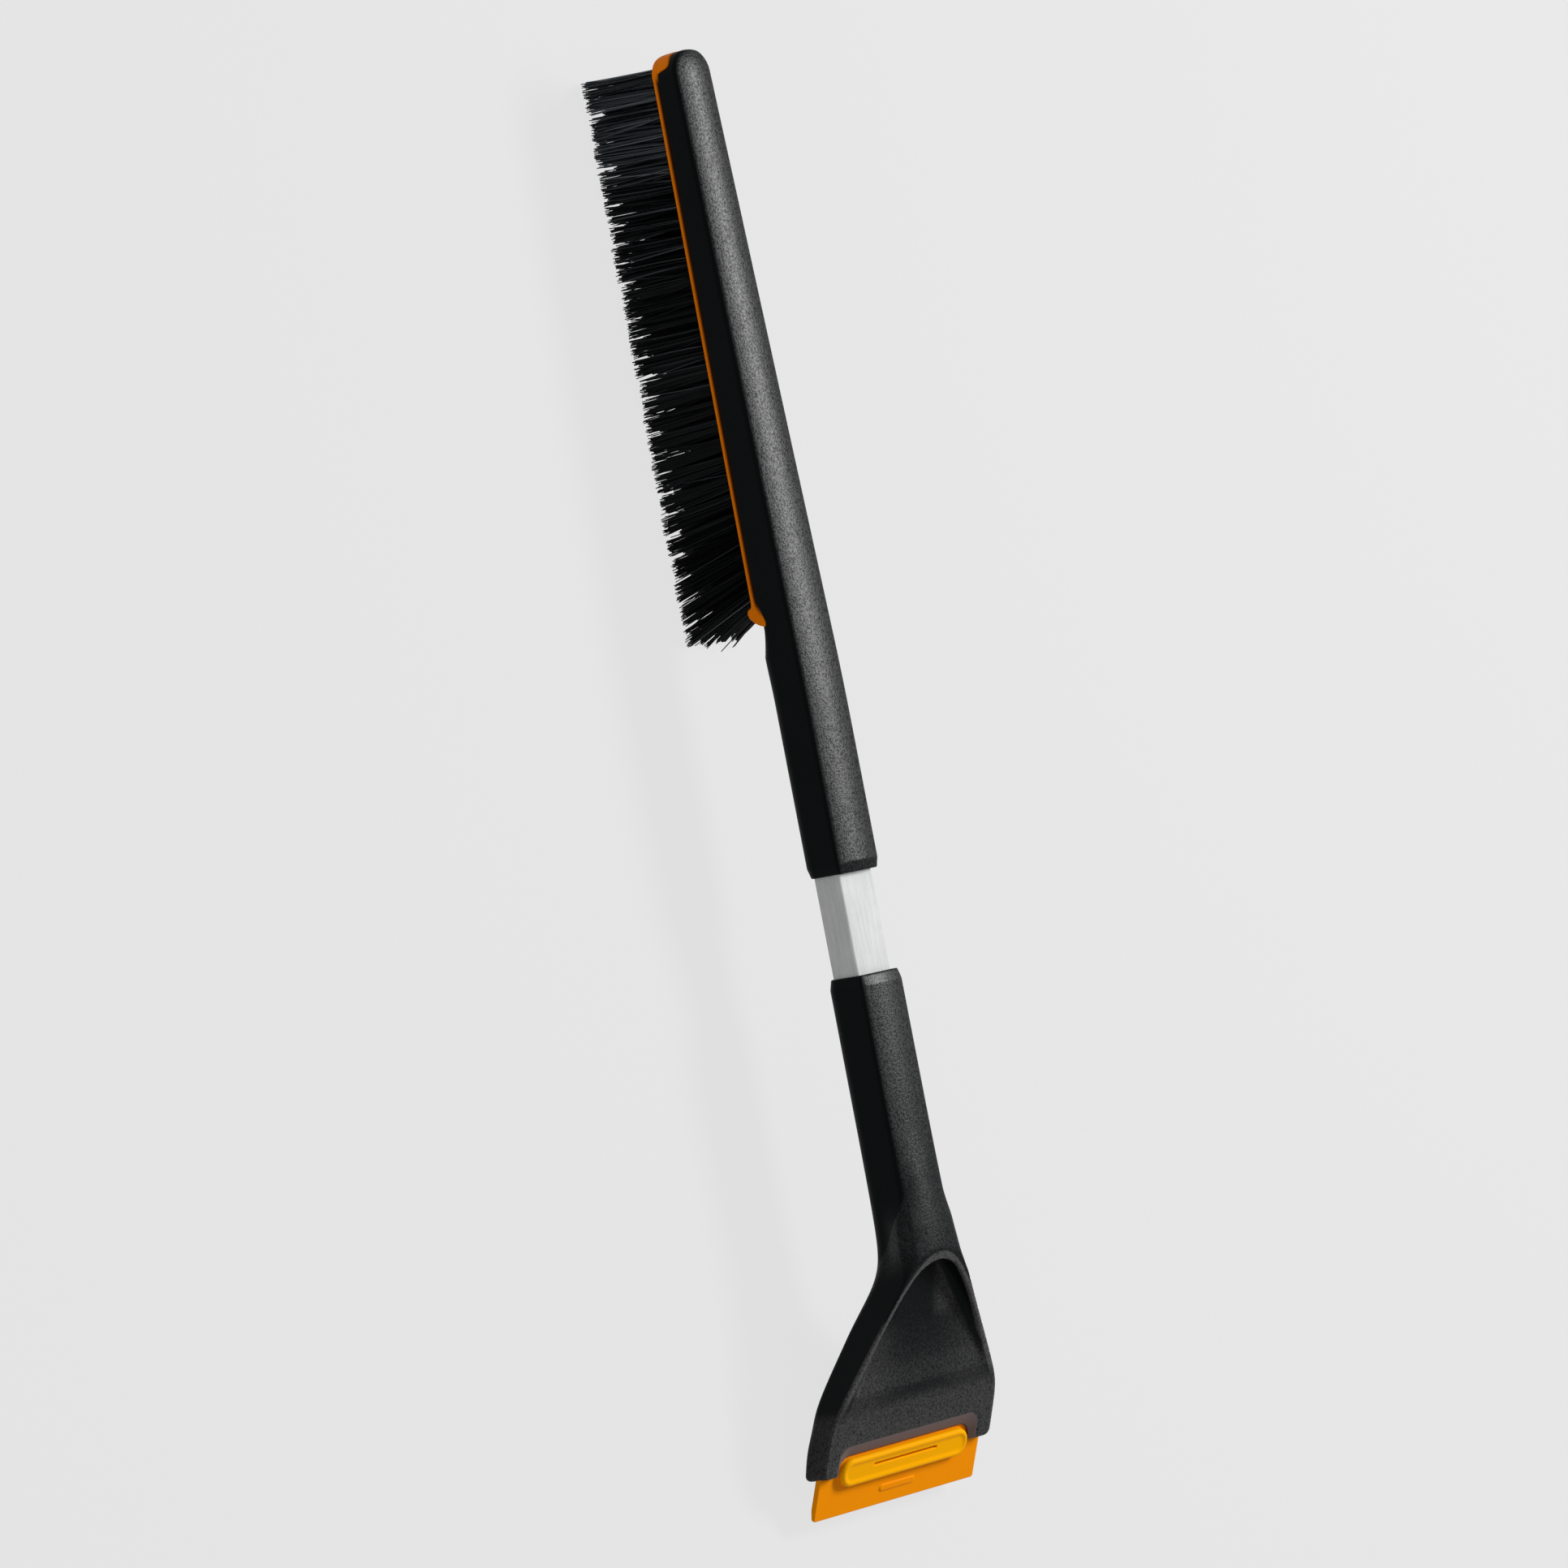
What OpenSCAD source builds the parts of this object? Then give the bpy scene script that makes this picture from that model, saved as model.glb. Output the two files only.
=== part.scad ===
/* [Brush body] */
// Length of the brush body, from its round nose to the end of its grip
body_len = 363; // [330:1:420]
// Width of both grips
grip_w = 25.8; // [24:0.2:30]
// Height of both grips
grip_h = 25.8; // [24.6:0.2:30]
// Width of the brush body at its nose
nose_w = 22.2; // [20:0.2:24]
// Length of the rounded nose
nose_len = 11; // [9:0.5:14]
// How far the top face dips at the nose
nose_dip = 2.5; // [1:0.5:4]
// Radius along the top edges
top_r = 5; // [3:0.5:6]
// Radius along the underside of the grips
under_r = 8; // [6:0.5:10]
// Rise of the crowned top face
crown = 0.8; // [0.2:0.1:1.5]
// How far the back of the brush slopes down toward the nose
back_drop = 8.4; // [6:0.2:9.4]
// Length of that slope
back_len = 284; // [270:1:300]
// Depth of the carrier's seat below the top face of the grips
seat_drop = 20.3; // [19.5:0.1:22]
// Wall of the brush body around its channel
body_wall = 2.6; // [2:0.1:3.2]
// Length over which the underside drops from the carrier to the grip
runout_len = 13; // [8:1:24]
// Length of the bevel round the open end of each grip
bevel_len = 4.5; // [2:0.5:8]
// Depth of that bevel
bevel_in = 1.2; // [0.5:0.1:1.6]

/* [Bristle carrier] */
// Length of the carrier from the nose
carrier_len = 252; // [230:1:256]
// Thickness of the carrier's visible edge
carrier_t = 3.5; // [3:0.1:5]
// Height of the locating core inside the body's channel
core_h = 5; // [4:0.5:6]
// Length of the nose block
ear_len = 9; // [7:0.5:11]
// Depth of the nose block's top below the top face
ear_top = 15; // [14.4:0.1:16]
// Radius of the nose block's lower corner
ear_r = 6; // [3:0.5:7]
// Corner cut where the nose block meets the seam
ear_corner = 2; // [1:0.1:3]
// How far the seam rises at the carrier's inner end
seam_lift = 2; // [1:0.1:2.5]
// Depth of the lip below the carrier
lip_h = 3.8; // [1:0.2:5]
// Length of the lip
lip_len = 9; // [6:0.5:14]
// Height of the snap ridges on the core
snap_h = 0.6; // [0.4:0.1:1]
// Gap of the seam between the carrier and the body
seam = 0.3; // [0.2:0.05:0.6]

/* [Bristles] */
// Tufts in each row
tufts = 26; // [25:1:28]
// Distance between rows at the roots
row_pitch = 4.2; // [3.8:0.1:4.3]
// Distance from the nose to the first tuft
first_tuft = 14; // [14:0.5:18]
// Distance from the last tuft to the carrier's inner end
last_tuft = 14; // [14:0.5:18]
// Free length of the bristles at the nose
bristle_len_nose = 39; // [32:0.5:42]
// Free length of the bristles at the inner end
bristle_len_root = 42; // [36:0.5:46]
// Half the width of the brush at the tips
tip_spread = 16; // [12:0.5:18]
// Radius of a strand at its root
strand_r = 0.5; // [0.3:0.05:0.5]
// Radius of a strand at its tip
strand_tip_r = 0.35; // [0.2:0.05:0.4]
// Distance between the strands of one tuft at the roots
root_step = 1.1; // [1:0.05:1.3]
// Distance between the strands of one tuft at the tips
tip_step = 2.4; // [1.2:0.1:2.6]
// Lean of the first tufts, toward the scraper when positive
lean_nose = -4.5; // [-6:0.5:0]
// Added lean of the middle tufts
lean_middle = 9; // [2:0.5:10]
// Added lean of the last tufts
lean_root = 16; // [0:0.5:18]
// Thickness of the backing slice under each row
slice_t = 1; // [0.8:0.1:1.4]
// Diameter of a tuft hole
tuft_hole_d = 2.8; // [2.4:0.1:3]
// Depth of a tuft hole above the backing slice
tuft_hole_depth = 5.5; // [4:0.5:6]
// Width of a tuft anchor
anchor_w = 2.2; // [1.8:0.1:2.3]
// Thickness of a tuft anchor
anchor_t = 0.4; // [0.3:0.05:0.6]
// Height of a tuft anchor
anchor_h = 2; // [1.5:0.1:3]

/* [Tube] */
// Width of the tube
tube_w = 21; // [18:0.5:21]
// Height of the tube
tube_h = 17.2; // [15:0.2:18]
// Radius along the tube's edges
tube_r = 2.5; // [1.8:0.1:5]
// Wall of the tube
tube_wall = 1.5; // [1:0.1:2.5]
// Depth of the tube's middle below the top face
tube_drop = 12.9; // [12.3:0.1:13.5]
// Length of bare tube between the grips
tube_gap = 45; // [30:0.5:90]
// Distance from the carrier's inner end to the inner end of the tube
tube_clear = 13; // [8:1:40]
// Length of tube inside the scraper handle
tube_in_handle = 82; // [50:1:90]
// Clearance round the tube in both sockets
tube_fit = 0.15; // [0.1:0.05:0.3]

/* [Screws] */
// Diameter of a screw's head
screw_head_d = 6.4; // [5:0.1:7]
// Height of a screw's head
screw_head_h = 1.8; // [1.4:0.1:2]
// Diameter of a screw's shank
screw_d = 3.4; // [2.5:0.1:4]
// Length of a screw under its head
screw_len = 6; // [5:0.5:9]
// Depth of a screw's head below the grip's underside
screw_sink = 0.4; // [0.2:0.1:0.8]
// Clearance round a screw
screw_fit = 0.15; // [0.1:0.05:0.3]
// Distance of each screw from the open end of its grip
screw_at = 24; // [16:1:40]
// Driver recess across the corners
drive_d = 3; // [2:0.1:3.4]
// Depth of the driver recess
drive_depth = 1.2; // [0.6:0.1:1.3]

/* [Scraper handle] */
// Length of the handle from its open end to the end of the head, along the tube
handle_len = 212; // [209:0.5:215]
// Distance from the open end to the top of the scoop's arch
arch_at = 125; // [123:0.5:127]
// Distance from the open end to where the sides turn outward
flare_at = 125; // [122:0.5:128]
// Angle of the flared sides to the tube
flare_angle = 32; // [30:0.5:34]
// How softly the sides turn outward
flare_soft = 5; // [3:0.5:6]
// Width of the head
head_w = 106.6; // [104:0.2:112]
// How softly the sides reach the full width
corner_soft = 2; // [1:0.5:4]
// Angle of the scraper head and blade to the tube
head_angle = 26.5; // [25:0.1:28]
// Distance from the open end to where the underside turns down
under_at = 128.5; // [126:0.5:130]
// Angle of the underside where it turns down
under_angle = 21.5; // [20:0.5:22]
// Distance from the open end to where the underside levels a little
level_at = 172; // [168:0.5:176]
// Angle of the underside below the blade
level_angle = 14.5; // [13.5:0.5:16]
// Rise of the neck's top face toward the arch
neck_rise = 2.4; // [1.5:0.1:3]
// Length of the neck over which the grip turns into the head
neck_len = 50; // [35:1:55]
// Radius along the top edges at the arch
arch_r = 5.5; // [5:0.5:8]
// Radius along the underside of the head
head_under_r = 3; // [1.5:0.5:4]
// Width of the rim round the scoop
rim_w = 2.6; // [2:0.1:4]
// Radius of the scoop's round upper end
arch_round = 13; // [11:0.5:16]
// Distance from the open end to the crease where the scoop runs out
crease_at = 181; // [176:0.5:186]
// Angle of the scoop's floor to the tube
floor_angle = 15.7; // [14:0.1:18]
// Radius along the scoop's floor
floor_r = 4; // [2:0.5:5]
// Wall round the hollow under the head
head_wall = 3; // [2.4:0.1:4]
// Thickness of the ribs under the head
rib_t = 2; // [1.5:0.1:3]
// Number of ribs under the head
ribs = 3; // [1:1:5]

/* [Blade] */
// Width of the blade
blade_w = 101.5; // [96:0.5:101.5]
// Thickness of the blade
blade_t = 3; // [2.4:0.1:3.4]
// Length of the blade in front of the head
blade_reach = 20; // [14:0.5:26]
// Length of the blade inside the head
blade_tang = 18; // [14:0.5:20]
// Thickness of the scraping edge
edge_t = 0.8; // [0.4:0.1:1.5]
// Length of the bevel behind the scraping edge
edge_bevel = 7; // [3:0.5:12]
// Height of the head's front face above the blade
front_h = 5.2; // [4.6:0.1:6]
// Clearance round the blade in its slot
blade_fit = 0.3; // [0.25:0.05:0.5]
// Width of the catch on the blade
catch_w = 80; // [60:1:84]
// Length of the catch along the blade
catch_len = 13.5; // [9:0.5:16]
// Height of the catch above the blade
catch_h = 3.4; // [2:0.1:4]
// How far the catch reaches in front of the head
catch_out = 5.5; // [0:0.5:7]
// Width of the catch's raised border
catch_rim = 2; // [1.2:0.1:3]
// Depth of the catch's hollow
catch_dip = 0.8; // [0.4:0.1:1.5]
// Length of the slot in the catch
catch_slot_len = 40; // [20:1:50]
// Width of the slot in the catch
catch_slot_w = 1.1; // [0.8:0.1:2]
// Room round the catch in the head
catch_room = 1.2; // [0.8:0.1:2]
// How far the head slopes away beside the catch
catch_slope = 4; // [2:0.5:5]
// How far the head slopes away behind the catch
catch_slope_back = 7.5; // [4:0.5:9]
// Width of the small raised pad
pad_w = 22; // [12:1:30]
// Length of the small raised pad along the blade
pad_len = 3; // [2:0.5:5]
// Height of the small raised pad
pad_h = 0.6; // [0.3:0.1:1]
// Distance of the pad from the scraping edge
pad_at = 7.9; // [7:0.1:13]

/* [Hidden] */

black = "#17181a";
orange = "#f59a10";
metal = "#c9ccce";
steel = "#8f9498";

// Everything is laid out from the nose at x = 0 toward the scraper at negative x, with the top face
// of the grips at z = 0, and placed() then moves it to its frame.
handle_at = body_len + tube_gap;
head_end = handle_at + handle_len;
edge_at = head_end + blade_reach * cos(head_angle);
total_len = edge_at;
arch_z = crown + neck_rise;
edge_drop = (edge_at - handle_at - arch_at) * tan(head_angle) - arch_z + front_h / cos(head_angle);
blade_drop = edge_drop + edge_t * cos(head_angle);
carrier_top = -seat_drop;
carrier_low = carrier_top - carrier_t;
bristle_drop = bristle_len_root - carrier_low;
rest_h = max(blade_drop, bristle_drop);

// Steps on each rounded corner, and places across a crowned top
corner_steps = 4;
crown_marks = [-0.5, 0, 0.5];
// A cut runs past the face it opens by this much, and a solid reaches this far past any shape it trims
past = 1;
far = 200;
// The least thickness of a shape that only steers a blend
hair = 0.01;
rows = 4;
strands = 3;
station = 4;

function mix(a, b, share) = a + (b - a) * share;
function clamp01(value) = min(1, max(0, value));
function ease(value) = clamp01(value) * clamp01(value) * (3 - 2 * clamp01(value));
// A value that turns smoothly from 0 into a slope of 1
function soft_ramp(value, softness) = (value + sqrt(value * value + 4 * softness * softness)) / 2;
function arc(centre, r, from, to, steps) =
    [for (i = [0:steps]) centre + r * [cos(from + (to - from) * i / steps), sin(from + (to - from) * i / steps)]];

module placed() {
    translate([total_len / 2, 0, rest_h])
        children();
}

// One cross section at distance d from the nose: half width, top, underside, radii and crown
function ring(d, half, top, under, r_top, r_under, rise) =
    let (
        flat = half - r_top,
        outline = concat(
            arc([-flat, top - r_top], r_top, 180, 90, corner_steps),
            [for (m = crown_marks) [m * flat, top + rise * (1 - m * m)]],
            arc([flat, top - r_top], r_top, 90, 0, corner_steps),
            arc([half - r_under, under + r_under], r_under, 0, -90, corner_steps),
            arc([r_under - half, under + r_under], r_under, -90, -180, corner_steps)))
    [for (p = outline) [-d, p[0], p[1]]];

// A closed solid through a row of cross sections with equal counts of points
module skin(rings) {
    count = len(rings[0]);
    last = len(rings) - 1;
    points = [for (r = rings) each r];
    sides = [for (i = [0:last - 1]) for (j = [0:count - 1])
        let (a = i * count + j, b = i * count + (j + 1) % count)
        each [[a, a + count, b + count], [a, b + count, b]]];
    ends = [[for (j = [0:count - 1]) j], [for (j = [count - 1:-1:0]) last * count + j]];
    polyhedron(points = points, faces = concat(sides, ends), convexity = 10);
}

// A side profile drawn in distance from the nose and height, given a width across
module across(width, profile) {
    rotate([90, 0, 0])
        linear_extrude(width, center = true)
            polygon([for (p = profile) [-p[0], p[1]]]);
}

module rounded_outline(width, height, r) {
    flat_w = width / 2 - r;
    flat_h = height / 2 - r;
    polygon(concat(
        arc([flat_w, flat_h], r, 0, 90, corner_steps),
        arc([-flat_w, flat_h], r, 90, 180, corner_steps),
        arc([-flat_w, -flat_h], r, 180, 270, corner_steps),
        arc([flat_w, -flat_h], r, 270, 360, corner_steps)));
}

// Brush body and carrier share these sizes along their length
back_soft = 6;
nose_blunt = 0.94;
// An edge radius takes up no more than this share of half the width
fullest = 0.8;
function nose_share(d) = d >= nose_len ? 1 : sqrt(1 - nose_blunt * pow(1 - d / nose_len, 2));
function brush_half(d) = mix(nose_w, grip_w, clamp01(d / (carrier_len + runout_len))) / 2;
function brush_top(d) = -back_drop / back_len * (soft_ramp(back_len - d, back_soft) - back_soft * back_soft / back_len);

nose_stations = [0, 0.05, 0.14, 0.28, 0.46, 0.7, 1] * nose_len;

function brush_ring(d, under, r_under) =
    let (
        share = nose_share(d),
        half = brush_half(d) * share,
        r = min(top_r, half * fullest))
    ring(d, half, brush_top(d) - nose_dip * (1 - share), under, r, min(r_under, half * fullest), crown * share);

// Side profile of the carrier, from the top of its nose block round to its lip and back
lip_at = carrier_len - lip_len;
function seam_line(grow) = [
    [-past, -ear_top + grow],
    [ear_len - ear_corner, -ear_top + grow],
    [ear_len + grow, -ear_top - ear_corner + grow],
    [ear_len + grow, carrier_top + grow],
    [lip_at - lip_len / 2, carrier_top + grow],
    [lip_at + lip_len / 2, carrier_top + seam_lift / 2 + grow],
    [carrier_len - seam_lift / 2 + grow, carrier_top + seam_lift + grow],
    [carrier_len + grow, carrier_top + grow]];
// The lip's outline, in shares of its length and depth
lip_shape = [[0.6, 0.4], [0.25, 0.9], [0.1, 1], [0, 0.7], [0.05, 0.15], [-0.1, 0]];
carrier_profile = concat(
    seam_line(0),
    [for (share = lip_shape) [lip_at + share[0] * lip_len, carrier_low - share[1] * lip_h]],
    arc([ear_r, carrier_low + ear_r], ear_r, 270, 180, 2 * corner_steps),
    [[-past, carrier_low + ear_r]]);

// Everything below the seam, which the body leaves free for the carrier
carrier_space = concat(seam_line(seam), [[carrier_len + seam, -far], [-past, -far]]);

// Plan of the channel in the body and of the core that fits it
channel_from = ear_len + body_wall;
channel_to = lip_at - body_wall;
function channel_plan(inset) =
    let (from = channel_from + inset, to = channel_to - inset)
    [[-from, body_wall + inset - brush_half(from)], [-from, brush_half(from) - body_wall - inset],
     [-to, brush_half(to) - body_wall - inset], [-to, body_wall + inset - brush_half(to)]];

// Bars that run along both sides of the channel, for the snap ridges and their grooves
module snap_bars(inset, reach, height) {
    from = channel_from + 2 * body_wall;
    to = channel_to - 2 * body_wall;
    for (side = [-1, 1])
        translate([0, 0, carrier_top + core_h / 2 - height / 2])
            linear_extrude(height)
                polygon([
                    [-from, side * (brush_half(from) - body_wall - inset - past)],
                    [-from, side * (brush_half(from) - body_wall - inset + reach)],
                    [-to, side * (brush_half(to) - body_wall - inset + reach)],
                    [-to, side * (brush_half(to) - body_wall - inset - past)]]);
}

module tube_shape(grow) {
    rounded_outline(tube_w + 2 * grow, tube_h + 2 * grow, tube_r + grow);
}

// A bar of the tube's section from one distance to another
module tube_bar(from, to, grow) {
    translate([-to, 0, -tube_drop])
        rotate([90, 0, 90])
            linear_extrude(to - from)
                tube_shape(grow);
}

// A screw's own shape or, grown, the hole it sits in, pointing up at distance d
screw_low = screw_sink - grip_h;
module screw_shape(d, grow, below) {
    translate([-d, 0, screw_low]) {
        translate([0, 0, -below])
            cylinder(d = screw_head_d + 2 * grow, h = screw_head_h + below, $fn = 32);
        cylinder(d = screw_d + 2 * grow, h = screw_head_h + screw_len, $fn = 32);
    }
}

tube_from = carrier_len + tube_clear;
tube_to = handle_at + tube_in_handle;
upper_screw_at = body_len - screw_at;
lower_screw_at = handle_at + screw_at;

grip_from = carrier_len + seam;
function body_under(d) =
    mix(carrier_top, -grip_h, ease((d - grip_from) / runout_len));
function body_under_r(d) = mix(1, under_r, ease((d - grip_from) / runout_len));

module brush_body() {
    bevel_at = body_len - bevel_len;
    run = [0, 0.15, 0.35, 0.5, 0.65, 0.85, 1] * runout_len;
    run_end = grip_from + runout_len;
    back_stations = [for (i = [-1:2]) back_len + 2 * i * back_soft];
    color(black) placed() difference() {
        skin(concat(
            [for (d = nose_stations) brush_ring(d, carrier_top - past, 1)],
            [brush_ring(lip_at, carrier_top - past, 1)],
            [for (r = run) brush_ring(grip_from + r, body_under(grip_from + r), body_under_r(grip_from + r))],
            [for (d = back_stations) if (d > run_end && d < bevel_at) brush_ring(d, -grip_h, under_r)],
            [ring(bevel_at, grip_w / 2, 0, -grip_h, top_r, under_r, crown),
             ring(body_len, grip_w / 2 - bevel_in, -bevel_in, bevel_in - grip_h, top_r, under_r - bevel_in,
                  crown)]));
        across(far, carrier_space);
        intersection() {
            translate([0, 0, -far])
                linear_extrude(far)
                    polygon(channel_plan(0));
            across(far, [
                [0, -far], [0, brush_top(0) - body_wall],
                [channel_to, brush_top(channel_to) - body_wall], [channel_to, -far]]);
        }
        snap_bars(0, snap_h + seam, snap_h + 3 * seam);
        tube_bar(tube_from - tube_fit, body_len + past, tube_fit);
        screw_shape(upper_screw_at, screw_fit, past);
    }
}

// Places of the tufts
tuft_pitch = (carrier_len - last_tuft - first_tuft) / (tufts - 1);
function tuft_at(i) = first_tuft + i * tuft_pitch;
function row_y(row) = (row - (rows + 1) / 2) * row_pitch;
slice_half = (row_pitch - seam) / 2;
pocket_half = row_pitch * rows / 2;
pocket_from = first_tuft - 2 * root_step - seam;
pocket_to = carrier_len - last_tuft + 2 * root_step + seam;
slice_top = carrier_low + slice_t;

module tuft_holes() {
    for (row = [1:rows], i = [0:tufts - 1])
        translate([-tuft_at(i), row_y(row), carrier_low])
            cylinder(d = tuft_hole_d, h = slice_t + tuft_hole_depth, $fn = 24);
}

module bristle_carrier() {
    envelope = carrier_low - lip_h - past;
    color(orange) placed() difference() {
        union() {
            intersection() {
                skin(concat(
                    [for (d = nose_stations) brush_ring(d, envelope, 0.5)],
                    [brush_ring(carrier_len + past, envelope, 0.5)]));
                across(far, carrier_profile);
            }
            translate([0, 0, carrier_top - past])
                linear_extrude(core_h + past)
                    polygon(channel_plan(seam));
            snap_bars(seam, snap_h, snap_h);
        }
        across(2 * pocket_half, [
            [pocket_from, slice_top], [pocket_to, slice_top], [pocket_to, -far], [pocket_from, -far]]);
        tuft_holes();
    }
}

module tuft_anchors() {
    color(steel) placed()
        for (row = [1:rows], i = [0:tufts - 1])
            translate([-tuft_at(i), row_y(row), slice_top + tuft_hole_depth - anchor_h])
                translate([-anchor_t / 2, -anchor_w / 2, 0])
                    cube([anchor_t, anchor_w, anchor_h]);
}

// Lean of a tuft by its share of the way along the row
function lean(share) = lean_nose + lean_middle * share + lean_root * pow(share, 5);

// One row is a single closed shell: a backing slice whose underside is cut into cells, with one
// three-sided strand drawn out of the middle of each cell.
slot_count = strands + 1;
function mark_at(i, k) = tuft_at(i) + (k - strands / 2) * root_step;
marks = concat(
    [pocket_from + seam],
    [for (i = [0:tufts - 1]) for (k = [0:strands]) mark_at(i, k)],
    [pocket_to - seam]);
strand_angles = [-90, 30, 150];
stagger = 0.9;
function strand_tip(i, k, row) =
    let (
        d = tuft_at(i),
        share = i / (tufts - 1),
        length = mix(bristle_len_nose, bristle_len_root, share),
        side = row_y(row) / row_y(rows))
    [-(d + (k + 0.5 - strands / 2) * tip_step + length * tan(lean(share))),
     side * (tip_spread - stagger) + (k % 2 == 0 ? stagger : -stagger),
     carrier_low - length];

module bristle_row(row) {
    y0 = row_y(row) - slice_half;
    y1 = row_y(row) + slice_half;
    count = len(marks);
    grid = [for (d = marks) each [
        [-d, y0, carrier_low], [-d, y1, carrier_low],
        [-d, y1, slice_top - seam], [-d, y0, slice_top - seam]]];
    cells = [for (i = [0:tufts - 1]) for (k = [0:strands - 1]) [i, k]];
    shafts = [for (c = cells) each
        let (
            d = (mark_at(c[0], c[1]) + mark_at(c[0], c[1] + 1)) / 2,
            root = [-d, row_y(row), carrier_low],
            tip = strand_tip(c[0], c[1], row))
        concat(
            [for (a = strand_angles) root + strand_r * [cos(a), sin(a), 0]],
            [for (a = strand_angles) tip + strand_tip_r * [cos(a), sin(a), 0]])];
    base = 4 * count;
    walls = [for (m = [0:count - 2]) let (a = 4 * m, b = 4 * m + 4) each [
        [a + 1, b + 2, b + 1], [a + 1, a + 2, b + 2],
        [a + 2, b + 3, b + 2], [a + 2, a + 3, b + 3],
        [a + 3, b, b + 3], [a + 3, a, b]]];
    plain = [for (m = [0:count - 2]) if (m % slot_count == 0)
        let (a = 4 * m, b = 4 * m + 4) each [[a, a + 1, b + 1], [a, b + 1, b]]];
    drawn = [for (n = [0:len(cells) - 1])
        let (
            m = 1 + cells[n][0] * slot_count + cells[n][1],
            q0 = 4 * m + 4, q1 = 4 * m, q2 = 4 * m + 1, q3 = 4 * m + 5,
            t = base + 6 * n)
        each [
            [q0, q1, t], [q1, q2, t + 1], [q2, q3, t + 2], [q3, q0, t + 2],
            [q1, t + 1, t], [q2, t + 2, t + 1], [q0, t, t + 2],
            [t, t + 4, t + 3], [t, t + 1, t + 4], [t + 1, t + 5, t + 4], [t + 1, t + 2, t + 5],
            [t + 2, t + 3, t + 5], [t + 2, t, t + 3], [t + 3, t + 4, t + 5]]];
    last = 4 * (count - 1);
    ends = [[0, 3, 2], [0, 2, 1], [last, last + 1, last + 2], [last, last + 2, last + 3]];
    color(black) placed()
        polyhedron(points = concat(grid, shafts), faces = concat(walls, plain, drawn, ends), convexity = 10);
}

module shaft_tube() {
    color(metal) placed() difference() {
        tube_bar(tube_from, tube_to, 0);
        tube_bar(tube_from - past, tube_to + past, -tube_wall);
        screw_shape(upper_screw_at, screw_fit, 0);
        screw_shape(lower_screw_at, screw_fit, 0);
    }
}

module retaining_screw(d) {
    color(steel) placed() difference() {
        screw_shape(d, 0, 0);
        translate([-d, 0, screw_low - past])
            cylinder(d = drive_d, h = drive_depth + past, $fn = 6);
    }
}

// Scraper handle: half width, underside and radii by distance from its open end
function handle_half(s) =
    let (flare = grip_w / 2 + tan(flare_angle) * soft_ramp(s - flare_at, flare_soft))
    head_w / 2 - soft_ramp(head_w / 2 - flare, corner_soft);
under_soft = 3;
under_blend = 30;
function handle_under(s) =
    -grip_h - tan(under_angle) * soft_ramp(s - under_at, under_soft)
    + (tan(under_angle) - tan(level_angle)) * soft_ramp(s - level_at, under_soft);
function arch_share(s) = ease((s - flare_at + neck_len) / neck_len);
function handle_top(s) = neck_rise * arch_share(s);
function handle_top_r(s) = mix(top_r, arch_r, arch_share(s));
function handle_under_r(s) = mix(under_r, head_under_r, ease((s - flare_at) / under_blend + 0.5));
function floor_z(s) = rim_z(crease_at) - (s - crease_at) * tan(floor_angle);
function rim_z(s) = arch_z - (s - arch_at) * tan(head_angle);
function handle_ring(s, inset, under, r_under) =
    ring(handle_at + s, handle_half(s) - inset, handle_top(s) - inset, under, handle_top_r(s) - inset, r_under, crown);

// The blade's own frame: origin at the scraping edge, on the blade's top face, x back into the head
module head_frame() {
    translate([-edge_at, 0, -edge_drop])
        rotate([0, -head_angle, 0])
            children();
}

// Outline with round ends, long across the blade, centred at a distance from the edge
module round_ended(at, width, length) {
    translate([at, 0])
        rounded_outline(length, width, length / 2 - hair);
}

catch_at = blade_reach - catch_out + catch_len / 2;

// Room for the catch, open at the end of the head, with walls that slope away
module catch_recess() {
    low_back = catch_at + catch_len / 2 + catch_room;
    top_back = catch_at + catch_len / 2 + catch_slope_back;
    hull() {
        linear_extrude(hair)
            translate([low_back / 2, 0])
                rounded_outline(low_back, catch_w + 2 * catch_room, catch_len / 2);
        translate([0, 0, front_h])
            linear_extrude(hair)
                translate([top_back / 2, 0])
                    rounded_outline(top_back, catch_w + 2 * catch_slope, catch_len / 2);
    }
}

// Outline of the scoop seen square to the head: a round upper end that opens out past the walls
arch_marks = [0, 0.5, 1, 2, 4, 7, 11, 16, 30, 90];
arch_spread = 0.25;
module arch_outline() {
    apex = (edge_at - handle_at - arch_at - rim_w) / cos(head_angle);
    half = [for (t = arch_marks) [apex - t, sqrt(2 * arch_round * t) + arch_spread * t]];
    polygon(concat(half, [for (i = [len(half) - 1:-1:1]) [half[i][0], -half[i][1]]]));
}

module scoop() {
    from = arch_at - rim_w;
    to = crease_at + station;
    intersection() {
        skin([for (s = [from:station:to]) handle_ring(s, rim_w, floor_z(s), floor_r)]);
        head_frame()
            linear_extrude(2 * far, center = true)
                arch_outline();
    }
}

// Hollow under the head, with ribs left standing along it
module underside_hollow() {
    from = arch_at + rim_w;
    to = crease_at;
    difference() {
        skin([for (s = [from:station:to])
            ring(handle_at + s, handle_half(s) - head_wall, floor_z(s) - head_wall, -far, floor_r, 1, 0)]);
        for (i = [1:ribs])
            translate([-head_end, (i - (ribs + 1) / 2) * head_w / (ribs + 2) - rib_t / 2, -far])
                cube([handle_len, rib_t, far]);
    }
}

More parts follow.
